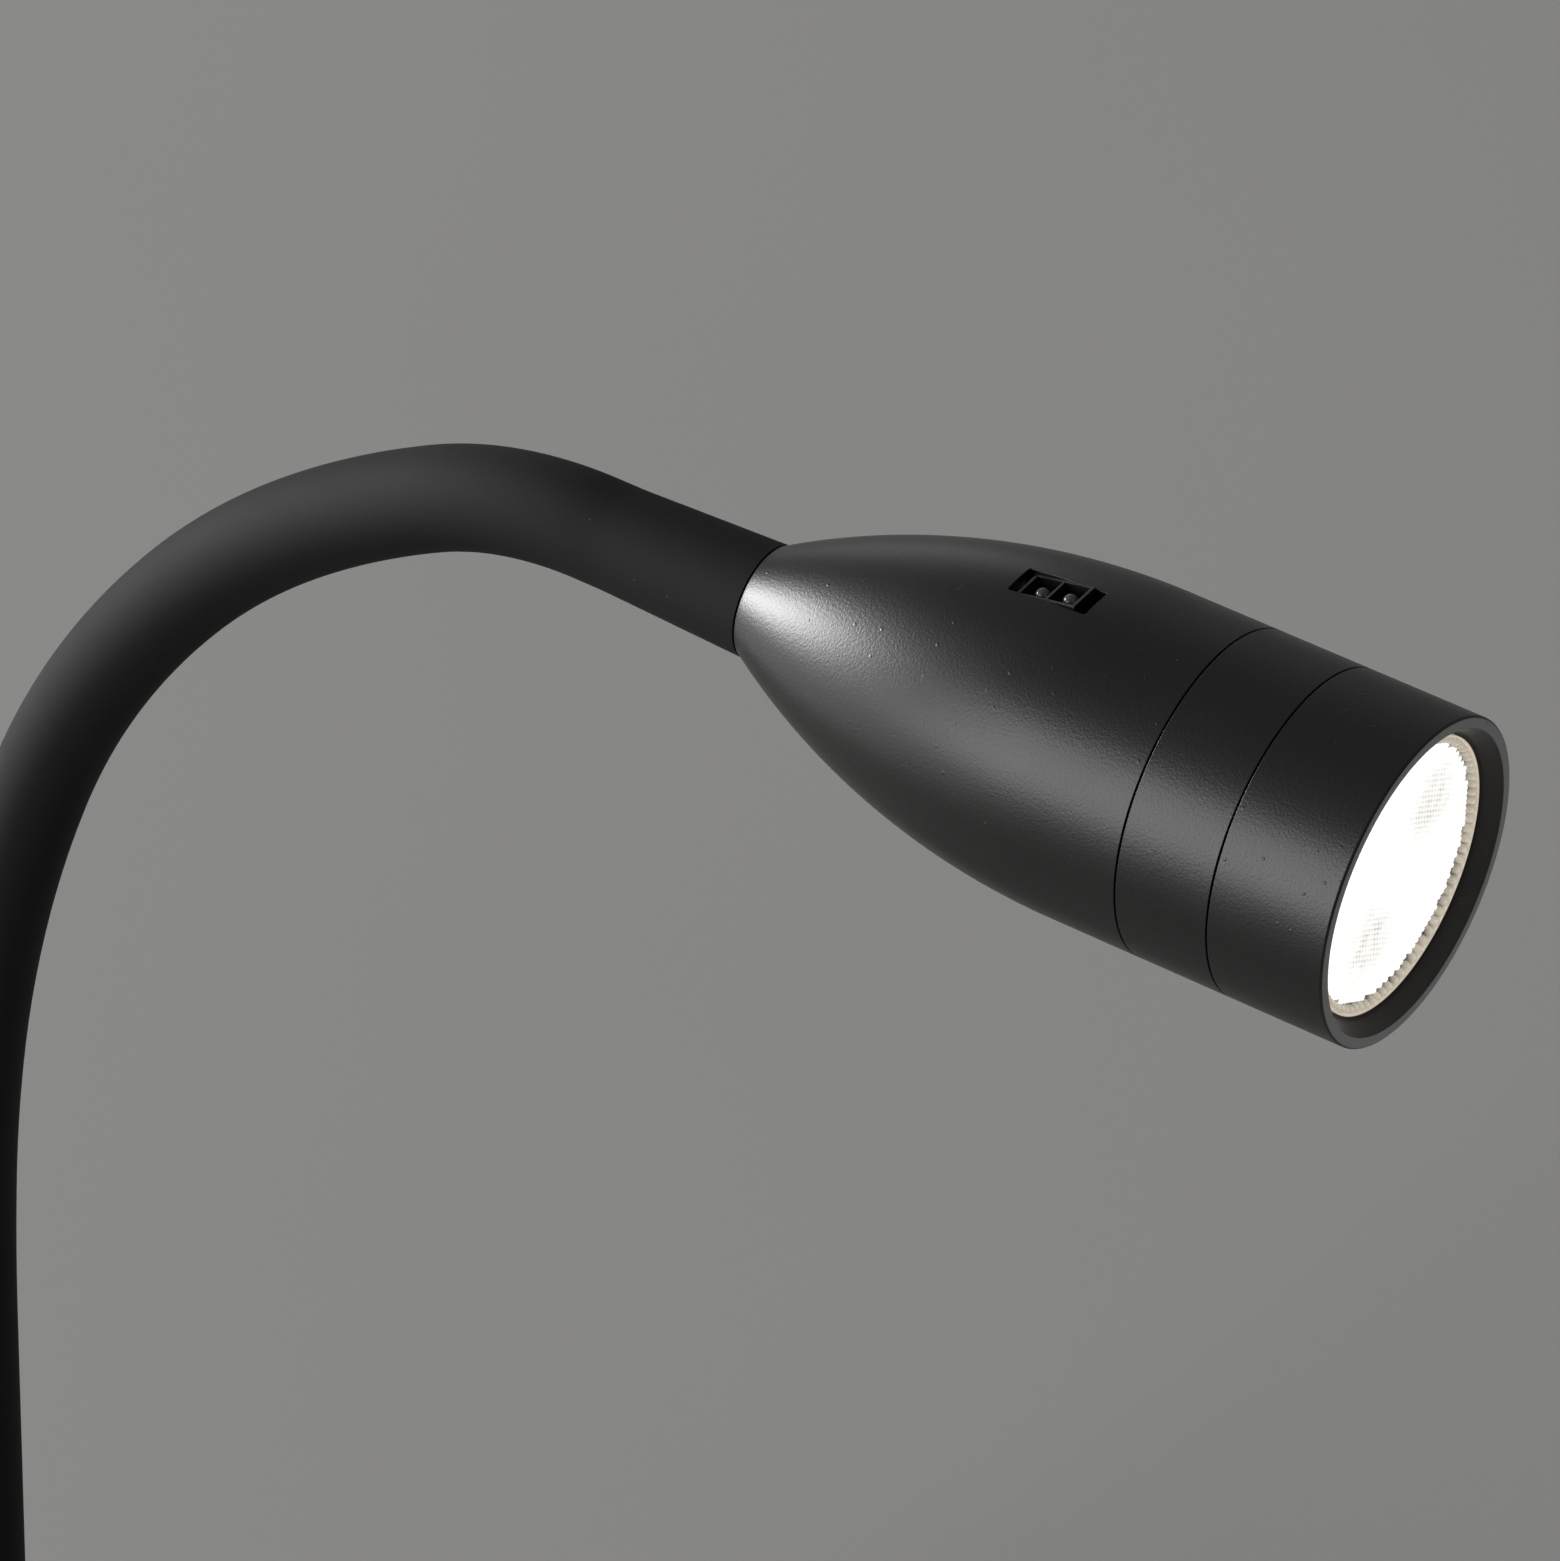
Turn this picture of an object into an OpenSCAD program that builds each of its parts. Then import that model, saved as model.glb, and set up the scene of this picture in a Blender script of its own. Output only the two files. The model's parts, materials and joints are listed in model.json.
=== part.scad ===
// Gooseneck wall lamp with a touchless sensor: a wall box, a flexible neck and a bullet-shaped head.
// Millimetres. The wall is the plane X = 0, +X points into the room and +Z is up.
// The origin is the middle of the wall plate's back face, and the neck bends in the plane Y = 0.

/* [Wall base] */
// Width of the base cover
base_w = 70; // [66:1:90]
// Height of the base cover
base_h = 110; // [108:1:140]
// Depth of the base cover out from the wall
base_d = 44; // [42:1:60]
// Wall thickness of the base cover
cover_wall = 2.5; // [2:0.1:3]
// Radius of the base cover's corners and front edges
cover_r = 10; // [6:0.5:10]
// Thickness of the steel wall plate
plate_t = 2; // [1.5:0.1:3]

/* [Wall fixing] */
// Distance between the two wall screw holes
fix_pitch = 84; // [80:1:88]
// Diameter of the wall screw holes
fix_hole_d = 5; // [4:0.5:6]
// Bore of the cable grommet
cable_bore_d = 8; // [6:0.5:9]

/* [Base electrics] */
// Length of the power supply along the wall
driver_l = 46; // [36:1:46]
// Width of the power supply
driver_w = 34; // [24:1:36]
// Height of the power supply off the plate
driver_h = 18; // [14:1:20]
// Width of the terminal block
terminal_w = 22; // [18:1:22]

/* [Neck] */
// Outer diameter of the silicone sleeve
sleeve_d = 16.4; // [15:0.1:17.5]
// Diameter of the sleeve and of the shell where they meet
flare_d = 18.2; // [17.6:0.1:20]
// Length of one flexing link
link_len = 31; // [28:0.5:34]
// Straight length of neck between the collar and the first flexing point
base_stub = 15.5; // [12:0.5:25]
// Straight stiff length of neck behind the head
head_stub = 31; // [26:0.5:40]
// Diameter of the ball at each flexing point
ball_d = 10; // [9:0.1:10.4]
// Diameter of the threaded end studs
stud_d = 10; // [9:0.5:11]
// Diameter of the lead inside the neck
lead_d = 3; // [2:0.1:4]
// Height of the collar on top of the base
collar_h = 6; // [5:0.5:12]
// Diameter of the collar
collar_d = 24; // [22:0.5:24]

/* [Head] */
// Diameter of the head
head_d = 52; // [48:0.5:60]
// Length of the head from its mouth to the neck
head_len = 113.4; // [108:0.2:125]
// Distance from the mouth to where the shell starts to taper
nose_start = 49.8; // [44:0.2:54]
// Length of the front ring
front_len = 19.7; // [19:0.1:24]
// Length of the middle ring
mid_len = 15.7; // [14:0.1:18]
// Wall thickness of the shell and of the rings
shell_wall = 2; // [1.6:0.1:2.4]
// Width of the flat lip round the mouth
lip_w = 1.9; // [1.4:0.1:2.4]
// Width of the seam lines between the shell and the rings
seam = 0.3; // [0.2:0.05:0.5]
// Depth of the lens behind the mouth
lens_depth = 4; // [3:0.1:5]
// Thickness of the lens
lens_t = 3.5; // [2.5:0.1:4]

/* [Sensor] */
// Distance of the sensor window's middle behind the mouth
window_at = 62.6; // [60:0.2:66]
// Length of the sensor window along the head
window_l = 12.5; // [11.4:0.1:14]
// Width of the sensor window
window_w = 6.1; // [6:0.1:8]
// Depth of the sensor's middle below the shell's surface
sensor_sink = 0.35; // [0.2:0.05:1]
// Distance of the sensor's middle behind the window's middle
sensor_back = 0.8; // [0:0.1:0.9]
// Slope of the sensor's top, whose front end is the higher one
sensor_tilt = 12; // [0:1:12]

/* [Hidden] */
$fn = 64;

// Clearances
fit_gap = 0.1;
slip_gap = 0.25;
ball_gap = 0.08;
sleeve_seam = 0.1;
plate_gap = 0.5;
hole_gap = 0.1;
part_gap = 0.5;
thread_spare = 0.3;

// How far a cut runs past the face that it opens
cut = 1;

// Bend of each neck link as the lamp is shown, in degrees, from the base to the head
link_bends = [0, 0, 0, 2.5, 5, 6, 6, 10, 9.5, 12, 10.5, 28.5];
links = len(link_bends);

// Neck section, from the bore outwards
ball_r = ball_d / 2;
cup_wall = 1.2;
core_r = ball_r + ball_gap + cup_wall;
cup_back = core_r;
cup_lip = 0.3 * ball_r;
cup_step = 0.6;
tube_r = core_r - cup_step;
stalk_r = 0.76 * ball_r;
stalk_wall = 1;
bore_r = stalk_r - stalk_wall;
shoulder = 0.84 * ball_r;
stalk_sunk = 0.5;
sleeve_in = core_r + slip_gap;
sleeve_r = sleeve_d / 2;
flare_r = flare_d / 2;
flare_from = 5;
lead_r = lead_d / 2;

// Neck layout: the place and tilt of every flexing point
neck_x = base_d / 2;
base_top = base_h / 2;
function rad(a) = a * PI / 180;
function turned(v, a) = [v.x * cos(a) + v.z * sin(a), v.y, v.z * cos(a) - v.x * sin(a)];
function run_end(l, bend) =
    bend == 0 ? [0, 0, l] : l / rad(bend) * [1 - cos(bend), 0, sin(bend)];
function tilt(i) = i == 0 ? 0 : tilt(i - 1) + link_bends[i - 1];
function joint_at(i) =
    i == 0
        ? [neck_x, 0, base_top + collar_h + base_stub]
        : joint_at(i - 1) + turned(run_end(link_len, link_bends[i - 1]), tilt(i - 1));
function on_link_point(i, p) = joint_at(i) + turned(p, tilt(i));

// Threaded ends and their nuts
stud_r = stud_d / 2;
nut_flats = 1.4 * stud_d;
nut_r = nut_flats / sqrt(3);
nut_h = 0.5 * stud_d;
stud_spare = 2;
washer_t = 1;
washer_rim = 1;
washer_r = nut_flats / 2 + washer_rim;

// Base
plate_w = base_w - 2 * (cover_wall + plate_gap);
plate_h = base_h - 2 * (cover_wall + plate_gap);
plate_r = cover_r - cover_wall - plate_gap;
ear_t = 2;
ear_out = 16;
ear_l = 18;
cover_screw_x = 10;
m3_r = 1.5;
m3_head_r = 2.75;
m3_head_h = 1.8;
cover_screw_l = 8;
sink_r = 3;
sink_h = sink_r - m3_r;
socket_flats = 2;
socket_h = 1;
counterbore = 3;
slot_share = 0.3;
collar_edge = 1.2;
fix_hole_r = fix_hole_d / 2;

// Power supply and its feet
driver_z = 4;
driver_edge = 2;
foot_l = 7;
foot_w = 14;
foot_t = 2;
driver_screw_l = foot_t + plate_t - thread_spare;

// Terminal block, cable entry and earth point in the lower part of the base
terminal_l = 16;
terminal_h = 12;
terminal_from_side = 3;
terminal_from_end = 15;
terminal_y = -(plate_w / 2 - terminal_from_side - terminal_w / 2);
terminal_z = -(base_h / 2 - terminal_from_end);
poles = 2;
pole_pitch = terminal_w / poles;
pole_screw_r = 2;
pole_screw_h = 6;
pole_screw_sink = 1.5;
pole_slot_w = 0.6;
pole_slot_h = 1;
cable_bore_r = cable_bore_d / 2;
grommet_wall = 1.9;
grommet_r = cable_bore_r + grommet_wall;
grommet_flange_w = 1.6;
grommet_flange_r = grommet_r + grommet_flange_w;
grommet_flange_t = 2;
grommet_y = 17;
grommet_z = terminal_z;
earth_from_side = 8;
earth_y = plate_w / 2 - earth_from_side;
earth_z = -24;
earth_r = 2;
earth_head_r = 3.8;
earth_head_h = 2.4;
earth_tag_r = 4.2;
earth_tag_t = 0.8;
wire_r = 0.9;
wire_x = plate_t + 8;
wire_from_side = 4;
wire_pitch = 5;

// Head outline: a cylinder that runs into one long arc down to the neck
head_r = head_d / 2;
nose_l = head_len - nose_start;
nose_drop = head_r - flare_r;
nose_r = (nose_l * nose_l + nose_drop * nose_drop) / (2 * nose_drop);
function shell_r(s) = head_r - nose_r + sqrt(nose_r * nose_r - pow(max(0, s - nose_start), 2));
edge = 0.35;
mid_end = front_len + mid_len;
socket_r = head_r - shell_wall;
spigot_r = socket_r - fit_gap;
spigot_l = 4;
spigot_wall = 1.6;
mid_bore = spigot_r - spigot_wall;
rear_wall = 3;

// Optics, from the mouth backwards
mouth_r = head_r - lip_w;
mouth_taper = 2.1;
lens_show_r = mouth_r - mouth_taper;
lens_land = 1.3;
lens_lip = 0.5;
lens_r = lens_show_r + lens_land;
lens_back = lens_depth + lens_t;
gasket_w = 2.5;
gasket_t = 1.2;
gasket_back = lens_back + gasket_t;
board_set = 2.2;
board_front = front_len - board_set;
led_board_t = 1.6;
led_board_rim = 2.3;
led_board_r = mid_bore - led_board_rim;
chip_r = 6.5;
chip_t = 1.3;
chip_gap = 1;
cup_throat = chip_r + chip_gap;
cup_skin = 1.4;
cup_flange = 1.5;
led_screw_rim = 1.2;
led_screw_at = led_board_r - m3_head_r - led_screw_rim;
led_screw_l = 7;
sink_front = board_front + led_board_t;
sink_plate = 6;
sink_core_r = 8;
sink_fin_t = 1.6;
sink_fins = 3;
sink_past_ring = 3;
sink_back = mid_end + sink_past_ring;
sink_outer_r = mid_bore - fit_gap;
sink_fin_gap = 1.2;
sink_fin_r = sink_outer_r - sink_fin_gap;
led_wire_x = 13;
led_wire_y = 1.5;
led_wire_r = 0.7;
led_wire_hole_r = 3.4;

// Sensor and its board, under the window
sensor_l = 10.2;
sensor_w = 5.8;
sensor_h = 7.05;
sensor_at = window_at + sensor_back;
cell_wall = 0.45;
cell_depth = 2.6;
cell_l = (sensor_l - 3 * cell_wall) / 2;
eye_r = 1.25;
eye_sink = 0.3;
sensor_top = shell_r(window_at) - sensor_sink;
board_t = 1.6;
board_top = sensor_top - sensor_h;
board_bottom = board_top - board_t;
board_before = 17;
board_behind = 11.5;
board_s0 = window_at - board_before;
board_s1 = window_at + board_behind;
board_side_gap = 1;
board_room_r = shell_r(board_s1) - shell_wall - fit_gap;
board_w = 2 * (sqrt(board_room_r * board_room_r - board_top * board_top) - board_side_gap);
boss_r = 2.2;
boss_hole_r = 1.1;
boss_from_end = 3;
boss_at = [board_s0 + boss_from_end, board_s1 - boss_from_end];
board_screw_r = 1.0;
board_screw_head_r = 2;
board_screw_head_h = 1.4;
board_screw_l = 4.5;
plug_l = 7;
plug_w = 8;
plug_h = 5;
plug_y = plug_w / 2 + board_screw_head_r + part_gap;
wire_end_y = led_wire_r + board_screw_head_r + part_gap;
plug_from_end = 1;
plug_s1 = board_s1 - plug_from_end;
tail_l = 3;
tail_s = plug_s1 + tail_l;

// Lead route in millimetres: out of the power supply, up the neck and on to the plug on the sensor board
function head_point(p) = on_link_point(links, [-p.x, p.y, head_stub + head_len - p.z]);
lead_x0 = plate_t + 10;
lead_y0 = 8;
lead_z0 = driver_z + driver_l / 2;
lead_step = 4;
base_route = [
    [lead_x0, lead_y0, lead_z0],
    [lead_x0, lead_y0, lead_z0 + lead_step],
    [lead_x0 + 2, lead_y0 - 2, lead_z0 + 2 * lead_step],
    [neck_x - 3, 2, lead_z0 + 3 * lead_step],
    [neck_x - 0.5, 0.3, lead_z0 + 4 * lead_step],
    [neck_x, 0, lead_z0 + 5 * lead_step],
    [neck_x, 0, base_top],
    [neck_x, 0, base_top + collar_h]
];
link_steps = 4;
neck_route = [
    for (i = [0 : links - 1], k = [0 : link_steps - 1])
        on_link_point(i, run_end(link_len * k / link_steps, link_bends[i] * k / link_steps))
];
plug_x = board_bottom - plug_h / 2;
head_route = [
    for (p = [
        [0, 0, head_len + head_stub],
        [0, 0, head_len + 5 * lead_step],
        [0, 0, head_len + 2.5 * lead_step],
        [0, 0, head_len],
        [0, 0, head_len - 3 * lead_step],
        [1, 0, head_len - 4.5 * lead_step],
        [0.4 * plug_x, 0.4 * plug_y, tail_s + 3 * lead_step],
        [0.85 * plug_x, 0.85 * plug_y, tail_s + 1.25 * lead_step],
        [plug_x, plug_y, tail_s],
        [plug_x, plug_y, plug_s1]
    ]) head_point(p)
];
lead_route = concat(base_route, neck_route, head_route);

function two_digits(i) = i < 10 ? str("0", i) : str(i);
function core_name(i) = str("neck_core_", two_digits(i));
function sleeve_name(i) = str("neck_sleeve_", two_digits(i));

// Frames and shapes that several pieces share

// Frame of a flexing point: +Z along the neck, the neck bends towards +X
module on_link(i) {
    translate(joint_at(i)) rotate([0, tilt(i), 0]) children();
}

// Frame of the head: +Z runs back from the mouth, +X is the top
module in_head() {
    on_link(links) translate([0, 0, head_stub + head_len]) rotate([0, 180, 0]) children();
}

// Frame on the base cover's top, at the neck's axis
module on_base() {
    translate([neck_x, 0, base_top]) children();
}

// Frame on the wall plate's front face: +Z out of the wall, +X down, +Y across
module on_plate(y, z) {
    translate([plate_t, y, z]) rotate([0, 90, 0]) children();
}

module tube(h, r_out, r_in) {
    difference() {
        cylinder(r = r_out, h = h);
        translate([0, 0, -cut]) cylinder(r = r_in, h = h + 2 * cut);
    }
}

// Solid round bar along a straight or bent run, from the length `from` to its end
module run_bar(l, bend, r, from = 0) {
    if (bend == 0) {
        translate([0, 0, from]) cylinder(r = r, h = l - from);
    } else {
        bend_r = l / rad(bend);
        from_a = bend * from / l;
        translate([bend_r, 0, 0]) rotate([90, 0, 180]) rotate([0, 0, from_a])
            rotate_extrude(angle = bend - from_a, $fn = 180)
                translate([bend_r, 0]) circle(r = r, $fn = 64);
    }
}

module at_run_end(l, bend) {
    translate(run_end(l, bend)) rotate([0, bend, 0]) children();
}

// Ball with its stalk, at the start of a link
module ball_end() {
    sphere(r = ball_r);
    cylinder(r = stalk_r, h = shoulder + stalk_sunk);
}

// Room for the ball of the next link
module ball_seat() {
    sphere(r = ball_r + ball_gap);
}

// Bar of round section swept along a list of points, with flat ends
function unit(v) = v / norm(v);
function along(pts, i) = unit(pts[min(i + 1, len(pts) - 1)] - pts[max(i - 1, 0)]);
function side_of(t) = unit(cross(t, abs(t.y) < 0.9 ? [0, 1, 0] : [1, 0, 0]));
function ring(pts, i, r, sides) =
    let (t = along(pts, i), u = side_of(t), v = cross(t, u))
    [for (k = [0 : sides - 1]) pts[i] + r * (cos(360 * k / sides) * u + sin(360 * k / sides) * v)];
module sweep(pts, r, sides = 8) {
    rings = len(pts);
    points = [for (i = [0 : rings - 1]) each ring(pts, i, r, sides)];
    first = [for (k = [sides - 1 : -1 : 0]) k];
    last = [for (k = [0 : sides - 1]) (rings - 1) * sides + k];
    walls = [
        for (i = [0 : rings - 2], k = [0 : sides - 1])
            let (a = i * sides + k, b = i * sides + (k + 1) % sides)
            each [[a, b, b + sides], [a, b + sides, a + sides]]
    ];
    polyhedron(points = points, faces = concat([first, last], walls), convexity = 10);
}

module pan_screw(r, head_r, head_h, l) {
    slot_w = slot_share * head_r;
    slot_l = 1.6 * head_r;
    translate([0, 0, -l]) cylinder(r = r, h = l);
    difference() {
        cylinder(r = head_r, h = head_h);
        translate([-slot_w / 2, -slot_l / 2, head_h / 2]) cube([slot_w, slot_l, head_h]);
    }
}

module hex_nut(hole_r) {
    difference() {
        cylinder(r = nut_r, h = nut_h, $fn = 6);
        translate([0, 0, -cut]) cylinder(r = hole_r, h = nut_h + 2 * cut);
    }
}

module rounded_rect(w, h, r) {
    square([w, h - 2 * r], center = true);
    square([w - 2 * r, h], center = true);
    for (x = [-1, 1], y = [-1, 1])
        translate([x * (w / 2 - r), y * (h / 2 - r)]) circle(r = r);
}

// Box against the wall with rounded sides and a rounded front
module pillow(w, h, d, r) {
    hull() for (y = [-1, 1], z = [-1, 1])
        translate([0, y * (w / 2 - r), z * (h / 2 - r)]) {
            rotate([0, 90, 0]) cylinder(r = r, h = d - r, $fn = 32);
            translate([d - r, 0, 0]) rotate([0, 90, 0]) sphere(r = r, $fn = 32);
        }
}

// Base

module wall_plate() color("silver")
    difference() {
        union() {
            rotate([0, 90, 0]) linear_extrude(plate_t) rounded_rect(plate_h, plate_w, plate_r);
            for (side = [-1, 1])
                translate([0, side * (plate_w - ear_t) / 2 - ear_t / 2, -ear_l / 2])
                    cube([ear_out, ear_t, ear_l]);
        }
        for (side = [-1, 1])
            translate([-cut, 0, side * fix_pitch / 2]) rotate([0, 90, 0])
                cylinder(r = fix_hole_r, h = plate_t + 2 * cut);
        translate([cover_screw_x, -plate_w, 0]) rotate([-90, 0, 0])
            cylinder(r = m3_r + hole_gap, h = 2 * plate_w);
        translate([-cut, grommet_y, grommet_z]) rotate([0, 90, 0])
            cylinder(r = grommet_r + hole_gap, h = plate_t + 2 * cut);
        on_driver_feet() translate([0, 0, -plate_t - foot_t - cut])
            cylinder(r = m3_r + hole_gap, h = plate_t + foot_t + 2 * cut);
        translate([-cut, earth_y, earth_z]) rotate([0, 90, 0])
            cylinder(r = earth_r + hole_gap, h = plate_t + 2 * cut);
    }

module base_cover() color([0.05, 0.05, 0.05])
    difference() {
        pillow(base_w, base_h, base_d, cover_r);
        translate([-cover_wall, 0, 0])
            pillow(base_w - 2 * cover_wall, base_h - 2 * cover_wall, base_d, cover_r - cover_wall);
        translate([neck_x, 0, base_top - 2 * cover_wall])
            cylinder(r = stud_r + slip_gap, h = 3 * cover_wall);
        for (side = [-1, 1]) on_cover_side(side) {
            translate([0, 0, -cover_wall - cut]) cylinder(r = m3_r + hole_gap, h = cover_wall + 2 * cut);
            translate([0, 0, -sink_h - hole_gap])
                cylinder(r1 = m3_r, r2 = sink_r + 2 * hole_gap, h = sink_h + 2 * hole_gap);
        }
    }

// Frame on a side of the cover, where a cover screw goes in
module on_cover_side(side) {
    translate([cover_screw_x, side * base_w / 2, 0]) rotate([-90 * side, 0, 0]) children();
}

module cover_screws() color("dimgray")
    for (side = [-1, 1]) on_cover_side(side)
        difference() {
            union() {
                translate([0, 0, -cover_screw_l]) cylinder(r = m3_r, h = cover_screw_l);
                translate([0, 0, -sink_h]) cylinder(r1 = m3_r, r2 = sink_r, h = sink_h);
            }
            translate([0, 0, -socket_h])
                cylinder(r = socket_flats / sqrt(3), h = socket_h + cut, $fn = 6);
        }

module neck_collar() color([0.05, 0.05, 0.05])
    on_base() rotate_extrude()
        polygon([
            [core_r + slip_gap, 0],
            [collar_d / 2, 0],
            [collar_d / 2, collar_h - collar_edge],
            [collar_d / 2 - collar_edge, collar_h],
            [sleeve_r + slip_gap, collar_h],
            [sleeve_r + slip_gap, collar_h - counterbore],
            [core_r + slip_gap, collar_h - counterbore]
        ]);

module lock_washer() color("silver")
    on_base() translate([0, 0, -cover_wall - washer_t]) tube(washer_t, washer_r, stud_r + slip_gap);

module base_nut() color("silver")
    on_base() translate([0, 0, -cover_wall - washer_t - nut_h]) hex_nut(stud_r + fit_gap);

// Frames of the two power supply feet, on their outer faces
module on_driver_feet() {
    for (side = [-1, 1])
        on_plate(0, driver_z + side * (driver_l + foot_l) / 2) translate([0, 0, foot_t]) children();
}

module led_driver() color("whitesmoke")
    difference() {
        union() {
            on_plate(0, driver_z) {
                linear_extrude(driver_h) rounded_rect(driver_l, driver_w, driver_edge);
                linear_extrude(foot_t) square([driver_l + 2 * foot_l, foot_w], center = true);
            }
        }
        on_driver_feet() translate([0, 0, -foot_t - cut])
            cylinder(r = m3_r + hole_gap, h = foot_t + 2 * cut);
    }

module driver_screws() color("silver")
    on_driver_feet() pan_screw(m3_r, m3_head_r, m3_head_h, driver_screw_l);

// Frames of the terminal block's poles, on its front face
module on_poles() {
    for (k = [0 : poles - 1])
        on_plate(terminal_y + (k - (poles - 1) / 2) * pole_pitch, terminal_z)
            translate([0, 0, terminal_h]) children();
}

module terminal_block() color("ivory")
    difference() {
        on_plate(terminal_y, terminal_z) linear_extrude(terminal_h)
            square([terminal_l, terminal_w], center = true);
        on_poles() translate([0, 0, -pole_screw_h])
            cylinder(r = pole_screw_r + fit_gap, h = pole_screw_h + cut);
    }

module terminal_screws() color("silver")
    on_poles() translate([0, 0, -pole_screw_h])
        difference() {
            cylinder(r = pole_screw_r, h = pole_screw_h - pole_screw_sink);
            translate([-pole_slot_w / 2, -pole_screw_r, pole_screw_h - pole_screw_sink - pole_slot_h])
                cube([pole_slot_w, 2 * pole_screw_r, pole_slot_h + cut]);
        }

module cable_grommet() color([0.1, 0.1, 0.1])
    translate([0, grommet_y, grommet_z]) rotate([0, 90, 0])
        difference() {
            union() {
                cylinder(r = grommet_r, h = plate_t);
                translate([0, 0, plate_t]) cylinder(r = grommet_flange_r, h = grommet_flange_t);
            }
            translate([0, 0, -cut]) cylinder(r = cable_bore_r, h = plate_t + grommet_flange_t + 2 * cut);
        }

module earth_tag() color("gold")
    on_plate(earth_y, earth_z) tube(earth_tag_t, earth_tag_r, earth_r + hole_gap);

module earth_screw() color("silver")
    on_plate(earth_y, earth_z) translate([0, 0, earth_tag_t])
        pan_screw(earth_r, earth_head_r, earth_head_h, earth_tag_t + plate_t - thread_spare);

// Two short wires from the terminal block up to the power supply
module mains_wires() color("saddlebrown")
    for (k = [0 : poles - 1]) {
        y0 = terminal_y + (k - (poles - 1) / 2) * pole_pitch;
        y1 = -driver_w / 2 + wire_from_side + wire_pitch * k;
        z0 = terminal_z + terminal_l / 2;
        z1 = driver_z - driver_l / 2;
        sweep([
            [wire_x, y0, z0],
            [wire_x, y0, z0 + 0.25 * (z1 - z0)],
            [wire_x, (y0 + y1) / 2, (z0 + z1) / 2],
            [wire_x, y1, z1 - 0.25 * (z1 - z0)],
            [wire_x, y1, z1]
        ], wire_r);
    }

// Neck

// Threaded bush that carries the neck: its stud is nutted inside the cover, its cup holds the first ball
module lower_ferrule() color("silver")
    on_base() {
        cup_z = collar_h + base_stub;
        stud_l = cover_wall + washer_t + nut_h + stud_spare;
        difference() {
            union() {
                cylinder(r = core_r, h = cup_z + cup_lip);
                translate([0, 0, -stud_l]) cylinder(r = stud_r, h = stud_l);
            }
            translate([0, 0, -stud_l - cut]) cylinder(r = bore_r, h = stud_l + cup_z + cut);
            translate([0, 0, cup_z]) ball_seat();
        }
    }

// Rigid length of the flexible steel core, with a ball at its foot and a cup at its top
module neck_core(i) color("silver")
    on_link(i - 1) {
        bend = link_bends[i - 1];
        difference() {
            union() {
                ball_end();
                run_bar(link_len, bend, tube_r, shoulder);
                at_run_end(link_len, bend) translate([0, 0, -cup_back])
                    cylinder(r = core_r, h = cup_back + cup_lip);
            }
            run_bar(link_len, bend, bore_r);
            translate([0, 0, -2 * ball_r]) cylinder(r = bore_r, h = 2 * ball_r);
            at_run_end(link_len, bend) ball_seat();
        }
    }

// Length of the silicone sleeve over one link
module neck_sleeve(i) color([0.06, 0.06, 0.06])
    on_link(i - 1) {
        bend = link_bends[i - 1];
        difference() {
            run_bar(link_len, bend, sleeve_r, sleeve_seam);
            run_bar(link_len, bend, sleeve_in);
        }
    }

// Lowest length of the sleeve, seated in the collar
module sleeve_foot() color([0.06, 0.06, 0.06])
    on_base() translate([0, 0, collar_h - counterbore])
        tube(base_stub + counterbore, sleeve_r, sleeve_in);

// Top length of the sleeve, which swells to meet the head
module sleeve_flare() color([0.06, 0.06, 0.06])
    on_link(links) rotate_extrude()
        polygon([
            [sleeve_in, sleeve_seam],
            [sleeve_r, sleeve_seam],
            [sleeve_r, flare_from],
            [flare_r, head_stub - seam],
            [sleeve_in, head_stub - seam]
        ]);

// Threaded bush in the head: its ball sits in the last link's cup, its stud is nutted inside the shell
module upper_ferrule() color("silver")
    on_link(links) {
        stud_l = rear_wall + nut_h + stud_spare;
        difference() {
            union() {
                ball_end();
                translate([0, 0, shoulder]) cylinder(r = core_r, h = head_stub - shoulder);
                translate([0, 0, head_stub]) cylinder(r = stud_r, h = stud_l);
            }
            translate([0, 0, -2 * ball_r])
                cylinder(r = bore_r, h = 2 * ball_r + head_stub + stud_l + cut);
        }
    }

module neck_lead() color([0.15, 0.15, 0.15])
    sweep(lead_route, lead_r);

// Head

module head_nut() color("silver")
    in_head() translate([0, 0, head_len - rear_wall - nut_h]) hex_nut(stud_r + fit_gap);

// Half section of the head's outer form, drawn in by a wall thickness
module head_section(inset) {
    intersection() {
        translate([head_r - nose_r, nose_start]) circle(r = nose_r - inset, $fn = 360);
        translate([0, nose_start]) square([head_r, head_len - nose_start]);
    }
    translate([0, mid_end]) square([head_r - inset, nose_start - mid_end]);
}

module head_shell() color([0.08, 0.08, 0.08])
    in_head() difference() {
        union() {
            rotate_extrude() difference() {
                head_section(0);
                intersection() {
                    head_section(shell_wall);
                    translate([0, mid_end]) square([head_r, head_len - mid_end - rear_wall]);
                }
            }
            for (s = boss_at)
                translate([board_top, 0, s]) rotate([0, 90, 0])
                    cylinder(r = boss_r, h = shell_r(s) - board_top - shell_wall / 2);
        }
        translate([0, 0, head_len - rear_wall - cut])
            cylinder(r = stud_r + slip_gap, h = rear_wall + 2 * cut);
        translate([shell_r(window_at), 0, window_at])
            cube([3 * shell_wall, window_w, window_l], center = true);
        for (s = boss_at)
            translate([board_top - cut, 0, s]) rotate([0, 90, 0])
                cylinder(r = boss_hole_r, h = board_screw_l - board_t + thread_spare + cut);
    }

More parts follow.
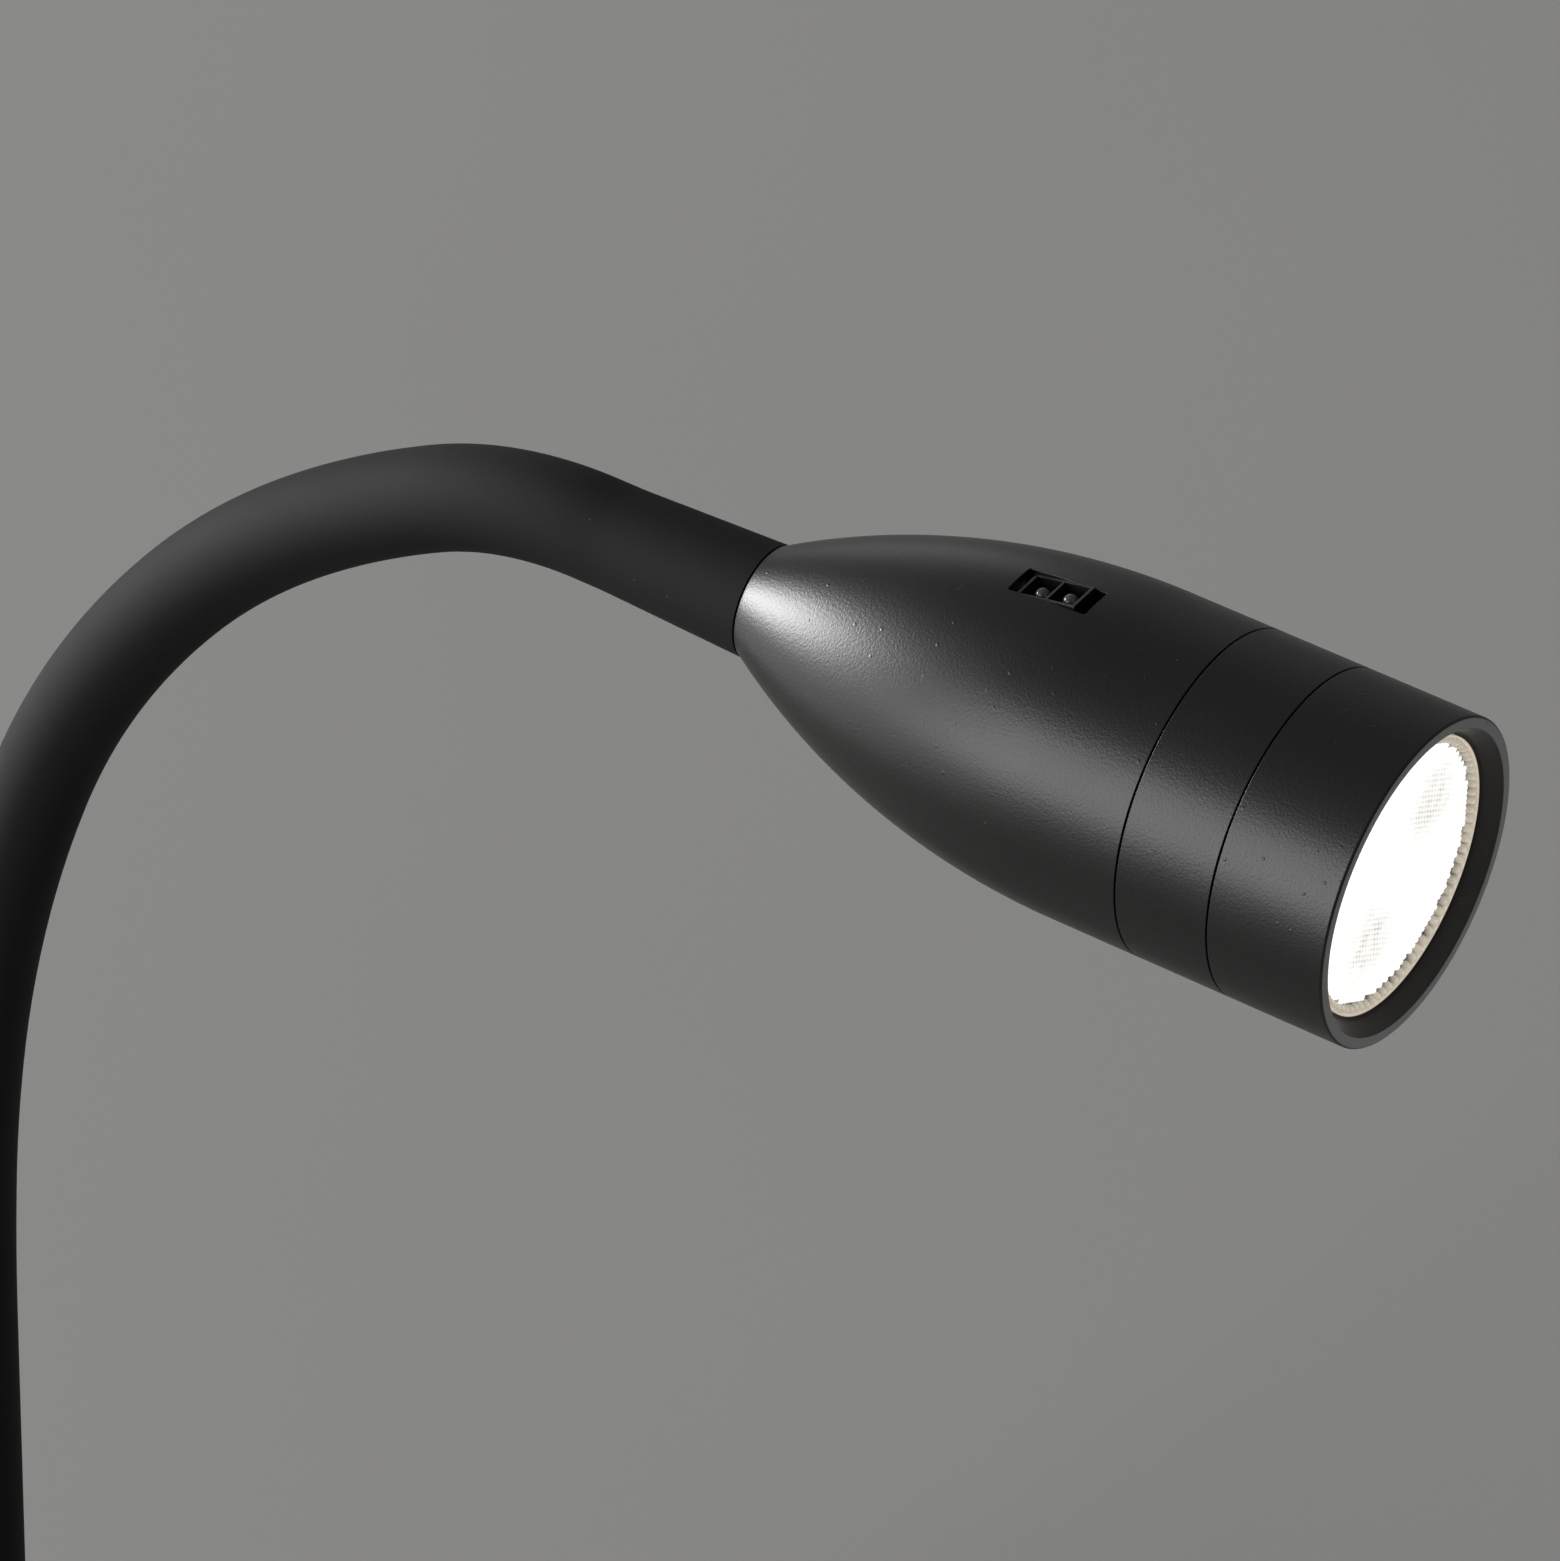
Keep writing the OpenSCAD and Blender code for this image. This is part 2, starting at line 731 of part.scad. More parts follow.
module middle_ring() color([0.08, 0.08, 0.08])
    in_head() rotate_extrude()
        polygon([
            [mid_bore, front_len - spigot_l],
            [spigot_r, front_len - spigot_l],
            [spigot_r, front_len],
            [head_r, front_len],
            [head_r, mid_end - seam],
            [spigot_r, mid_end - seam],
            [spigot_r, mid_end + spigot_l],
            [mid_bore, mid_end + spigot_l]
        ]);

module front_ring() color([0.08, 0.08, 0.08])
    in_head() rotate_extrude()
        polygon([
            [mouth_r, 0],
            [head_r - edge, 0],
            [head_r, edge],
            [head_r, front_len - seam],
            [socket_r, front_len - seam],
            [socket_r, front_len - spigot_l - fit_gap],
            [lens_r + fit_gap, front_len - spigot_l - fit_gap],
            [lens_r + fit_gap, lens_depth],
            [lens_show_r, lens_depth],
            [lens_show_r, lens_depth - lens_lip]
        ]);

module lens() color([0.95, 0.95, 0.9])
    in_head() translate([0, 0, lens_depth]) cylinder(r = lens_r, h = lens_t);

module lens_gasket() color([0.2, 0.2, 0.2])
    in_head() translate([0, 0, lens_back]) tube(gasket_t, lens_r, lens_r - gasket_w);

module reflector() color("white")
    in_head() rotate_extrude()
        polygon([
            [lens_r - gasket_w, gasket_back],
            [lens_r, gasket_back],
            [lens_r, gasket_back + cup_flange],
            [lens_r - gasket_w + cup_skin, gasket_back + cup_flange],
            [cup_throat + cup_skin, board_front],
            [cup_throat, board_front]
        ]);

module led_chip() color("khaki")
    in_head() translate([0, 0, board_front - chip_t]) cylinder(r = chip_r, h = chip_t);

module on_led_screws() {
    for (side = [-1, 1])
        translate([0, side * led_screw_at, board_front]) rotate([180, 0, 0]) children();
}

module led_board() color("white")
    in_head() difference() {
        translate([0, 0, board_front]) cylinder(r = led_board_r, h = led_board_t);
        on_led_screws() translate([0, 0, -led_board_t - cut])
            cylinder(r = m3_r + hole_gap, h = led_board_t + 2 * cut);
    }

module led_screws() color("silver")
    in_head() on_led_screws() pan_screw(m3_r, m3_head_r, m3_head_h, led_screw_l);

module heat_sink() color("lightgray")
    in_head() difference() {
        union() {
            translate([0, 0, sink_front]) cylinder(r = sink_outer_r, h = sink_plate);
            translate([0, 0, sink_front]) cylinder(r = sink_core_r, h = sink_back - sink_front);
            for (k = [1 : sink_fins])
                translate([0, 0, sink_front + sink_plate
                    + k * (sink_back - sink_front - sink_plate) / sink_fins - sink_fin_t])
                    cylinder(r = sink_fin_r, h = sink_fin_t);
        }
        translate([led_wire_x, 0, sink_front - cut])
            cylinder(r = led_wire_hole_r, h = sink_back - sink_front + 2 * cut);
        on_led_screws() translate([0, 0, -led_screw_l - thread_spare])
            cylinder(r = m3_r + hole_gap, h = led_screw_l);
    }

// Frame in the middle of the sensor's sloped top: +Z out of it, +X towards the mouth
module on_sensor() {
    in_head() translate([sensor_top, 0, sensor_at]) rotate([0, 90 - sensor_tilt, 0]) children();
}

// Frames of the sensor's two cells, on its sloped top
module on_cells() {
    for (side = [-1, 1]) on_sensor() translate([side * (cell_l + cell_wall) / 2, 0, 0]) children();
}

module sensor_body() color([0.03, 0.03, 0.03])
    difference() {
        in_head() translate([board_top, -sensor_w / 2, sensor_at - sensor_l / 2])
            cube([2 * sensor_h, sensor_w, sensor_l]);
        on_sensor() translate([-sensor_l, -sensor_w, 0]) cube([2 * sensor_l, 2 * sensor_w, 2 * sensor_h]);
        on_cells() cube([cell_l, sensor_w - 2 * cell_wall, 2 * cell_depth], center = true);
    }

// Infrared emitter and detector, a dome in each cell
module sensor_eyes() color([0.12, 0.1, 0.14])
    on_cells() translate([0, 0, -cell_depth]) {
        dome_at = cell_depth - eye_sink - eye_r;
        cylinder(r = eye_r, h = dome_at);
        translate([0, 0, dome_at]) intersection() {
            sphere(r = eye_r);
            cylinder(r = 2 * eye_r, h = 2 * eye_r);
        }
    }

module sensor_board() color("darkgreen")
    in_head() difference() {
        translate([board_bottom, -board_w / 2, board_s0]) cube([board_t, board_w, board_s1 - board_s0]);
        for (s = boss_at)
            translate([board_bottom - cut, 0, s]) rotate([0, 90, 0])
                cylinder(r = board_screw_r + hole_gap, h = board_t + 2 * cut);
    }

module board_screws() color("silver")
    in_head() for (s = boss_at)
        translate([board_bottom, 0, s]) rotate([0, -90, 0])
            pan_screw(board_screw_r, board_screw_head_r, board_screw_head_h, board_screw_l);

module lead_plug() color("ivory")
    in_head() translate([board_bottom - plug_h, plug_y - plug_w / 2, plug_s1 - plug_l])
        cube([plug_h, plug_w, plug_l]);

// Two wires from the sensor board, through the heat sink, to the back of the LED board
module led_wires() color("firebrick")
    in_head() for (side = [-1, 1])
        sweep([
            [led_wire_x, side * led_wire_y, sink_front],
            [led_wire_x, side * led_wire_y, (sink_front + sink_back) / 2],
            [led_wire_x, side * led_wire_y, sink_back],
            [led_wire_x, side * (led_wire_y + wire_end_y) / 2, (sink_back + board_s0) / 2],
            [led_wire_x + led_wire_r, side * wire_end_y, board_s0 + 2 * led_wire_r],
            [board_bottom - led_wire_r, side * wire_end_y, board_s0 + 4 * led_wire_r],
            [board_bottom, side * wire_end_y, board_s0 + 4 * led_wire_r]
        ], led_wire_r);

wall_plate();
base_cover();
cover_screws();
neck_collar();
lock_washer();
base_nut();
led_driver();
driver_screws();
terminal_block();
terminal_screws();
cable_grommet();
earth_tag();
earth_screw();
mains_wires();
lower_ferrule();
neck_lead();
for (i = [1 : links]) neck_core(i);
sleeve_foot();
for (i = [1 : links]) neck_sleeve(i);
sleeve_flare();
upper_ferrule();
head_nut();
head_shell();
middle_ring();
front_ring();
lens();
lens_gasket();
reflector();
led_chip();
led_board();
led_screws();
heat_sink();
sensor_body();
sensor_eyes();
sensor_board();
board_screws();
lead_plug();
led_wires();
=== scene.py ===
# %% [markdown]
# # A gooseneck wall lamp, dressed in Blender
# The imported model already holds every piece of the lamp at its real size: a wall box, a flexible neck and
# a bullet-shaped head with a lit lens and a touchless sensor. This lesson gives it its looks. Pieces that
# show are built again with finer forms in the same place, and every piece gets a finish made of shader
# nodes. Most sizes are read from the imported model, so nothing has to be fitted by eye.

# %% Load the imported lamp
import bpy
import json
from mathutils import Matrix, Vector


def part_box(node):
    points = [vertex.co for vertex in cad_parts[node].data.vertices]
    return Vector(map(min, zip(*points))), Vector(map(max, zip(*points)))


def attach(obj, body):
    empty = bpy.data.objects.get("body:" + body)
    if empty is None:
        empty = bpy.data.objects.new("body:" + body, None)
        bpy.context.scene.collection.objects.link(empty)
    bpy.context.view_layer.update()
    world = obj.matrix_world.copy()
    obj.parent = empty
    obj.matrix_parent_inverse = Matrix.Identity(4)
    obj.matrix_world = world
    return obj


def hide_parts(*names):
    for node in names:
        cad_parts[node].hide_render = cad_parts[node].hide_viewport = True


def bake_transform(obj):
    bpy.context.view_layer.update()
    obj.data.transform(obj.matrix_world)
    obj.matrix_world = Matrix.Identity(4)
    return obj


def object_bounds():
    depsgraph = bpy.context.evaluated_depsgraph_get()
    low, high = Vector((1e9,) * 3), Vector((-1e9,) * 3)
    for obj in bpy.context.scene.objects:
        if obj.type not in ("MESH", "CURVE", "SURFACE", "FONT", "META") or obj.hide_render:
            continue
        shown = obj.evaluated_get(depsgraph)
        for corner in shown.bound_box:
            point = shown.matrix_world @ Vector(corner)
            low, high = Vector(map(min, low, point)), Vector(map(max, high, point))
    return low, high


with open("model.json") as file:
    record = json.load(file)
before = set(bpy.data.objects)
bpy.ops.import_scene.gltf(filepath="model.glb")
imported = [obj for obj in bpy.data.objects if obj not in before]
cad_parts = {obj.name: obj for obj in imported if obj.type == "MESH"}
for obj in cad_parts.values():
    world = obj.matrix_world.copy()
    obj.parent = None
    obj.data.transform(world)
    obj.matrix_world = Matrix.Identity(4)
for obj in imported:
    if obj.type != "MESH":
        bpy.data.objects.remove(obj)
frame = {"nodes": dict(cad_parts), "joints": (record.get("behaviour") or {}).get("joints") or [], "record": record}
cad_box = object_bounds()
print("packed box:", [tuple(round(c, 4) for c in corner) for corner in cad_box])

# %% Tools for every step
import json
import math

import bmesh
import bpy
import numpy as np
from mathutils import Matrix, Vector

MM = 0.001
cad = frame["nodes"]
record = frame["record"]
scene = bpy.context.scene

# %% [markdown]
# ## The camera
# A long lens far away flattens the lamp as the photograph does. Three angles give the direction, and the
# middle of the lamp's mouth, which has to land on a known pixel, gives the place. No lens shift is needed.

# %% Camera
PHOTO_W, PHOTO_H = 1560, 1561
MOUTH_PIXEL = (1416.7, 883.4)
FOCAL_PIXELS = 11228.6
MOUTH_DEPTH = 1.62377
azimuth, elevation, roll = (math.radians(angle) for angle in (33.207, 38.829, 1.468))

ring_low, ring_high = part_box("front_ring")
mouth = Vector((ring_high.x, 0.0, (ring_low.z + ring_high.z) / 2))

flat_reach = math.cos(elevation)
back = Vector((math.sin(azimuth) * flat_reach, -math.cos(azimuth) * flat_reach, math.sin(elevation)))
level = Vector((math.cos(azimuth), math.sin(azimuth), 0.0))
right = math.cos(roll) * level + math.sin(roll) * back.cross(level)
up = back.cross(right)
across = (MOUTH_PIXEL[0] - PHOTO_W / 2) / FOCAL_PIXELS * MOUTH_DEPTH
above = (PHOTO_H / 2 - MOUTH_PIXEL[1]) / FOCAL_PIXELS * MOUTH_DEPTH
camera_at = mouth + MOUTH_DEPTH * back - across * right - above * up

camera_data = bpy.data.cameras.new("photo_camera")
camera_data.sensor_width = 36.0
camera_data.lens = FOCAL_PIXELS * camera_data.sensor_width / PHOTO_H
camera = bpy.data.objects.new("photo_camera", camera_data)
camera.matrix_world = Matrix.Translation(camera_at) @ Matrix((right, up, back)).transposed().to_4x4()
scene.collection.objects.link(camera)
scene.camera = camera
print("camera at", tuple(round(c, 3) for c in camera_at), "lens", round(camera_data.lens, 1), "mm")

# %% [markdown]
# ## Sizes of the head
# The head is a row of turned pieces on one level axis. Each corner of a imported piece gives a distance
# behind the mouth and a distance from the axis, and the sizes that the finer pieces need are among them.

# %% Read the head's sizes
def corners_of(piece):
    """Every corner of a piece, one row each."""
    vertices = piece.data.vertices
    corners = np.empty(len(vertices) * 3)
    vertices.foreach_get("co", corners)
    return corners.reshape(-1, 3)


def section(piece):
    """Distance behind the mouth and from the head's axis, for each corner of a piece."""
    corners = corners_of(piece)
    return mouth.x - corners[:, 0], np.hypot(corners[:, 1], corners[:, 2] - mouth.z)


NEAR = 0.002 * MM
ring_s, ring_r = section(cad["front_ring"])
mid_s, mid_r = section(cad["middle_ring"])
shell_s, shell_r = section(cad["head_shell"])
lens_s, lens_r = section(cad["lens"])

head_r = ring_r.max()
on_side = shell_r > head_r - NEAR
shell_front, nose_start, head_len = shell_s.min(), shell_s[on_side].max(), shell_s.max()
on_rear = shell_s > head_len - NEAR
junction_r, stud_hole_r = shell_r[on_rear].max(), shell_r[on_rear].min()
ring_back = ring_s[ring_r > head_r - NEAR].max()
socket_r = ring_r[ring_s > ring_back - NEAR].min()
shell_wall = head_r - socket_r
nose_run, nose_drop = head_len - nose_start, head_r - junction_r
nose_r = (nose_run**2 + nose_drop**2) / (2 * nose_drop)
print(f"head {head_r / MM:.2f} mm in radius, {head_len / MM:.2f} mm long, nose arc {nose_r / MM:.1f} mm")

# %% [markdown]
# ## Finishes
# A finish is a small tree of shader nodes. Each one starts at the object's own coordinates in metres, so a
# noise with 2000 waves to the metre has grains of half a millimetre wherever the piece goes. A few helpers
# keep the trees short: one adds a node, the others do a sum, a stretch or a mix between sockets.

# %% Helpers for node trees
def fill(tree, socket, value):
    """Links another socket to this one, or sets its value."""
    if isinstance(value, bpy.types.NodeSocket):
        tree.links.new(value, socket)
    else:
        socket.default_value = value


def add(tree, kind, inputs=None, **settings):
    """A new node with its settings, and its inputs linked or set."""
    node = tree.nodes.new(kind)
    for key, value in settings.items():
        setattr(node, key, value)
    for key, value in (inputs or {}).items():
        fill(tree, node.inputs[key], value)
    return node


def sum_of(tree, operation, *values, clamp=False):
    """The result of a Math node on sockets or numbers."""
    inputs = dict(enumerate(values))
    return add(tree, "ShaderNodeMath", inputs, operation=operation, use_clamp=clamp).outputs[0]


def stretch(tree, value, low, high, start=0.0, end=1.0):
    """A value that runs from start to end, moved so that it runs from low to high and no further."""
    inputs = {"Value": value, "From Min": start, "From Max": end, "To Min": low, "To Max": high}
    return add(tree, "ShaderNodeMapRange", inputs).outputs["Result"]


def mix(tree, share, first, second):
    """A colour between two, each a socket or three numbers."""
    inputs = {0: share}
    for index, colour in ((6, first), (7, second)):
        inputs[index] = colour if isinstance(colour, bpy.types.NodeSocket) else (*colour, 1.0)
    return add(tree, "ShaderNodeMix", inputs, data_type="RGBA").outputs[2]


def noise(tree, where, per_metre, detail=2.0):
    """Noise with that many waves to the metre."""
    inputs = {"Vector": where, "Scale": per_metre, "Detail": detail}
    return add(tree, "ShaderNodeTexNoise", inputs).outputs["Fac"]


def bump(tree, height, depth, strength=1.0, under=None):
    """Relief of that depth in metres, on top of another one."""
    inputs = {"Height": height, "Distance": depth, "Strength": strength}
    if under is not None:
        inputs["Normal"] = under
    return add(tree, "ShaderNodeBump", inputs).outputs["Normal"]


def new_finish(name):
    """An empty finish: the material, its tree, its shader and its object coordinates."""
    material = bpy.data.materials.new(name)
    material.use_nodes = True
    tree = material.node_tree
    where = add(tree, "ShaderNodeTexCoord").outputs["Object"]
    return material, tree, tree.nodes["Principled BSDF"], where


def dress(tree, shader, **looks):
    """Links or sets the shader's inputs, with underscores for the spaces in their names."""
    for key, value in looks.items():
        fill(tree, shader.inputs[key.replace("_", " ")], value)


print("node helpers ready")

# %% [markdown]
# ### Satin black paint
# The head is sprayed metal. Up close such paint has a fine orange peel, a few nibs of dust under the film
# and some pale specks of dust on it. Noise makes the peel. Nibs and specks are the middles of scattered
# cells, with most cells left out, so that they stay rare and never form rows. Inside the mouth the paint is
# duller. A piece marks such places with an attribute, "matt", and the roughness rises with it.

# %% Satin black paint
def specks(tree, where, per_metre, size, rarity):
    """1 in the middle of a few scattered cells, falling to 0 at that share of a cell."""
    inputs = {"Vector": where, "Scale": per_metre}
    cells = add(tree, "ShaderNodeTexVoronoi", inputs)
    chance = add(tree, "ShaderNodeSeparateColor", {"Color": cells.outputs["Color"]}).outputs["Red"]
    chosen = sum_of(tree, "GREATER_THAN", chance, rarity)
    spot = stretch(tree, cells.outputs["Distance"], 1.0, 0.0, 0.4 * size, size)
    return sum_of(tree, "MULTIPLY", spot, chosen)


def satin_black_paint():
    """Black film with peel, nibs and dust."""
    material, tree, shader, where = new_finish("satin_black_paint")
    peel = noise(tree, where, 2300, detail=3.0)
    cloud = noise(tree, where, 45)
    nibs = specks(tree, where, per_metre=380, size=0.12, rarity=0.6)
    dust = specks(tree, where, per_metre=420, size=0.05, rarity=0.84)
    film = mix(tree, cloud, (0.0040, 0.0039, 0.0037), (0.0056, 0.0055, 0.0052))
    colour = mix(tree, dust, film, (0.16, 0.16, 0.15))
    relief = bump(tree, peel, 0.045 * MM, 0.85)
    relief = bump(tree, nibs, 0.05 * MM, 0.8, under=relief)
    matt = add(tree, "ShaderNodeAttribute", attribute_name="matt").outputs["Fac"]
    roughness = sum_of(tree, "MULTIPLY_ADD", matt, 0.2, stretch(tree, cloud, 0.34, 0.39))
    dress(tree, shader, Base_Color=colour, Roughness=roughness, Normal=relief, Specular_IOR_Level=0.42)
    return material


paint = satin_black_paint()
print("made", paint.name)

# %% [markdown]
# ### Matte silicone
# The neck's sleeve is moulded silicone: black, soft to the touch, with a powdery surface that spreads every
# highlight. High roughness with a low specular level does most of it. Handling leaves patches that are a
# little smoother and paler, and here and there a bit of lint sticks to it.

# %% Matte silicone
def matte_silicone():
    """Black rubber with a fine grain, marks of handling and lint."""
    material, tree, shader, where = new_finish("matte_silicone")
    skin_grain = noise(tree, where, 2600, detail=4.0)
    handling = noise(tree, where, 30, detail=3.0)
    lint = specks(tree, where, per_metre=300, size=0.04, rarity=0.8)
    rubber = mix(tree, handling, (0.0016, 0.0016, 0.0015), (0.0026, 0.0026, 0.0025))
    colour = mix(tree, lint, rubber, (0.22, 0.22, 0.21))
    relief = bump(tree, skin_grain, 0.02 * MM, 0.35)
    roughness = stretch(tree, handling, 0.77, 0.84)
    dress(tree, shader, Base_Color=colour, Roughness=roughness, Normal=relief, Specular_IOR_Level=0.25)
    return material


silicone = matte_silicone()
print("made", silicone.name)

# %% [markdown]
# ### Metals, plastics and boards inside
# What sits inside is not seen in the photograph, but it is there when the lamp is taken apart. Two recipes
# cover most of it: a metal with fine tool marks, and a moulded plastic with a faint texture and cloudy
# colour. Each call names its own colours, so one recipe gives many finishes.

# %% Recipes for metals and plastics
def tooled_metal(name, dark, light, roughness, marks=(900, 60, 900)):
    """Metal with fine marks, with that many to the metre along X, Y and Z."""
    material, tree, shader, where = new_finish(name)
    lines = add(tree, "ShaderNodeMapping", {"Vector": where, "Scale": marks}).outputs["Vector"]
    grain = noise(tree, lines, 1.0, detail=4.0)
    tarnish = noise(tree, where, 70, detail=3.0)
    dress(tree, shader, Base_Color=mix(tree, tarnish, dark, light), Metallic=1.0)
    dress(tree, shader, Roughness=stretch(tree, grain, roughness - 0.08, roughness + 0.08))
    dress(tree, shader, Normal=bump(tree, grain, 0.01 * MM, 0.3))
    return material


def moulded(name, dark, light, roughness, grain_per_metre=1500, depth=0.02):
    """Moulded plastic, rubber or lacquer with a fine even texture, its depth in millimetres."""
    material, tree, shader, where = new_finish(name)
    grain = noise(tree, where, grain_per_metre, detail=3.0)
    cloud = noise(tree, where, 90)
    dress(tree, shader, Base_Color=mix(tree, cloud, dark, light))
    dress(tree, shader, Roughness=stretch(tree, cloud, roughness - 0.05, roughness + 0.05))
    dress(tree, shader, Normal=bump(tree, grain, depth * MM, 0.4))
    return material


inner_finishes = {
    "steel": tooled_metal("zinc_plated_steel", (0.50, 0.50, 0.51), (0.66, 0.66, 0.66), 0.34),
    "screws": tooled_metal("blackened_screw_steel", (0.035, 0.035, 0.036), (0.06, 0.06, 0.06), 0.38),
    "brass": tooled_metal("stamped_brass", (0.62, 0.42, 0.16), (0.78, 0.56, 0.24), 0.30),
    "bare_aluminium": tooled_metal("extruded_aluminium", (0.70, 0.71, 0.72), (0.82, 0.82, 0.83), 0.36),
    "driver_plastic": moulded("white_polycarbonate", (0.74, 0.74, 0.72), (0.82, 0.82, 0.80), 0.45),
    "terminal_plastic": moulded("ivory_nylon", (0.70, 0.67, 0.58), (0.78, 0.75, 0.66), 0.5),
    "rubber": moulded("black_rubber", (0.018, 0.018, 0.018), (0.03, 0.03, 0.03), 0.7, 1100),
    "wire_brown": moulded("brown_wire_jacket", (0.16, 0.075, 0.035), (0.20, 0.095, 0.045), 0.42),
    "wire_red": moulded("red_wire_jacket", (0.42, 0.03, 0.03), (0.52, 0.05, 0.04), 0.4),
    "lead_jacket": moulded("grey_black_lead_jacket", (0.03, 0.03, 0.03), (0.045, 0.045, 0.045), 0.55),
    "reflector_white": moulded("white_reflector", (0.84, 0.84, 0.83), (0.90, 0.90, 0.89), 0.32, 700),
    "led_board_white": moulded("white_solder_mask", (0.76, 0.77, 0.76), (0.84, 0.84, 0.83), 0.35, 1800),
    "sensor_black": moulded("black_sensor_plastic", (0.004, 0.004, 0.004), (0.006, 0.006, 0.006), 0.3),
    "circuit_board": moulded("green_solder_mask", (0.012, 0.085, 0.03), (0.02, 0.125, 0.045), 0.33, 2200),
}
print(len(inner_finishes), "finishes for the inside")

# %% [markdown]
# ### Phosphor and the sensor's eyes
# The LED's face is a yellow phosphor under clear resin. The sensor looks out through two domes of dark
# resin that pass infrared light only: smooth, dark grey and not quite glossy.

# %% Phosphor and dark resin
def led_phosphor():
    """Yellow grains under a clear coat, glowing a little."""
    material, tree, shader, where = new_finish("phosphor_in_resin")
    grains = noise(tree, where, 3000, detail=4.0)
    dress(tree, shader, Base_Color=mix(tree, grains, (0.80, 0.60, 0.10), (0.90, 0.74, 0.20)))
    dress(tree, shader, Roughness=stretch(tree, grains, 0.3, 0.5), Coat_Weight=0.6)
    dress(tree, shader, Emission_Color=(1.0, 0.86, 0.62, 1.0), Emission_Strength=1.0)
    return material


def infrared_resin():
    """Dark resin with a faint haze."""
    material, tree, shader, where = new_finish("infrared_resin")
    haze = noise(tree, where, 500)
    dress(tree, shader, Base_Color=mix(tree, haze, (0.040, 0.039, 0.039), (0.056, 0.054, 0.054)))
    dress(tree, shader, Roughness=stretch(tree, haze, 0.2, 0.28))
    return material


inner_finishes["led_phosphor"] = led_phosphor()
inner_finishes["sensor_eye"] = infrared_resin()
print("made", [inner_finishes[slot].name for slot in ("led_phosphor", "sensor_eye")])

# %% [markdown]
# ## Turned pieces of the head
# The shell and the two rings are turned on a lathe. In Blender a lathe is a row of circles, one for each
# point of a half section, with faces between them. Real edges are never knife sharp, so each corner of the
# section is eased by a small arc, which is what catches the light along seams and lips.

# %% Lathe helpers
TURNS = 256
EASE_STEPS = 4
SAME_PLACE = 0.0005 * MM


def eased(corners):
    """An outline with its corners rounded, from (radius, depth, rounding) at each corner, in metres."""
    outline = []
    count = len(corners)
    for k, (radius, depth, rounding) in enumerate(corners):
        corner = Vector((radius, depth))
        if not rounding:
            outline.append(corner)
            continue
        before = (Vector(corners[k - 1][:2]) - corner).normalized()
        after = (Vector(corners[(k + 1) % count][:2]) - corner).normalized()
        half = before.angle(after) / 2
        middle = corner + (before + after).normalized() * rounding / math.sin(half)
        first = corner + before * rounding / math.tan(half) - middle
        last = corner + after * rounding / math.tan(half) - middle
        swing = math.pi - 2 * half
        for step in range(EASE_STEPS + 1):
            share = step / EASE_STEPS * swing
            arm = first * math.sin(swing - share) + last * math.sin(share)
            outline.append(middle + arm / math.sin(swing))
    return outline


def face_outwards(bm):
    """Turns every face of a closed shape outwards, so that it encloses a positive volume."""
    bmesh.ops.recalc_face_normals(bm, faces=bm.faces)
    if bm.calc_volume(signed=True) < 0:
        bmesh.ops.reverse_faces(bm, faces=bm.faces)


def skin(rows, loop=False, caps=False):
    """Faces between neighbouring points of neighbouring rows, merged and turned outwards."""
    bm = bmesh.new()
    rings = [[bm.verts.new(point) for point in row] for row in rows]
    pairs = list(zip(rings, rings[1:]))
    if loop:
        pairs.append((rings[-1], rings[0]))
    for ring, following in pairs:
        for k in range(len(ring)):
            bm.faces.new((ring[k - 1], ring[k], following[k], following[k - 1]))
    if caps:
        bm.faces.new(rings[0])
        bm.faces.new(rings[-1])
    bmesh.ops.remove_doubles(bm, verts=bm.verts, dist=SAME_PLACE)
    face_outwards(bm)
    return bm


def new_piece(name, bm):
    """An object from a bmesh, in the scene."""
    mesh = bpy.data.meshes.new(name)
    bm.to_mesh(mesh)
    bm.free()
    piece = bpy.data.objects.new(name, mesh)
    scene.collection.objects.link(piece)
    return piece


def circle_rows(outline, place, turns):
    """A circle for each point of an outline, about the Z axis of a place."""
    angles = [math.tau * k / turns for k in range(turns)]
    return [[place @ Vector((r * math.cos(a), r * math.sin(a), z)) for a in angles] for r, z in outline]


def turned(name, outline, place, turns=TURNS, loop=True):
    """A solid of revolution. With loop off, the outline starts and ends on the axis."""
    return new_piece(name, skin(circle_rows(outline, place, turns), loop=loop))


in_head = Matrix(((0, 0, -1, mouth.x), (0, 1, 0, 0), (1, 0, 0, mouth.z), (0, 0, 0, 1)))
print("lathe ready, head axis starts at", tuple(round(c, 4) for c in in_head.translation))

# %% Helpers that finish a piece
SHARP = math.radians(32)


def plain_mesh(piece):
    """Turns a piece's modifiers into its plain mesh."""
    evaluated = piece.evaluated_get(bpy.context.evaluated_depsgraph_get())
    mesh = bpy.data.meshes.new_from_object(evaluated)
    piece.modifiers.clear()
    piece.data = mesh
    return piece


def combine(piece, tool, operation):
    """Cuts a tool out of a piece or joins it on, and removes the tool."""
    modifier = piece.modifiers.new("combine", "BOOLEAN")
    modifier.object = tool
    modifier.operation = operation
    modifier.solver = "EXACT"
    plain_mesh(piece)
    bpy.data.objects.remove(tool)


def smooth(piece):
    """Smooth shading up to sharp edges, with large faces kept flat."""
    piece.data.shade_smooth()
    piece.data.set_sharp_from_angle(angle=SHARP)
    normals = piece.modifiers.new("even_shading", "WEIGHTED_NORMAL")
    normals.keep_sharp = True
    plain_mesh(piece)


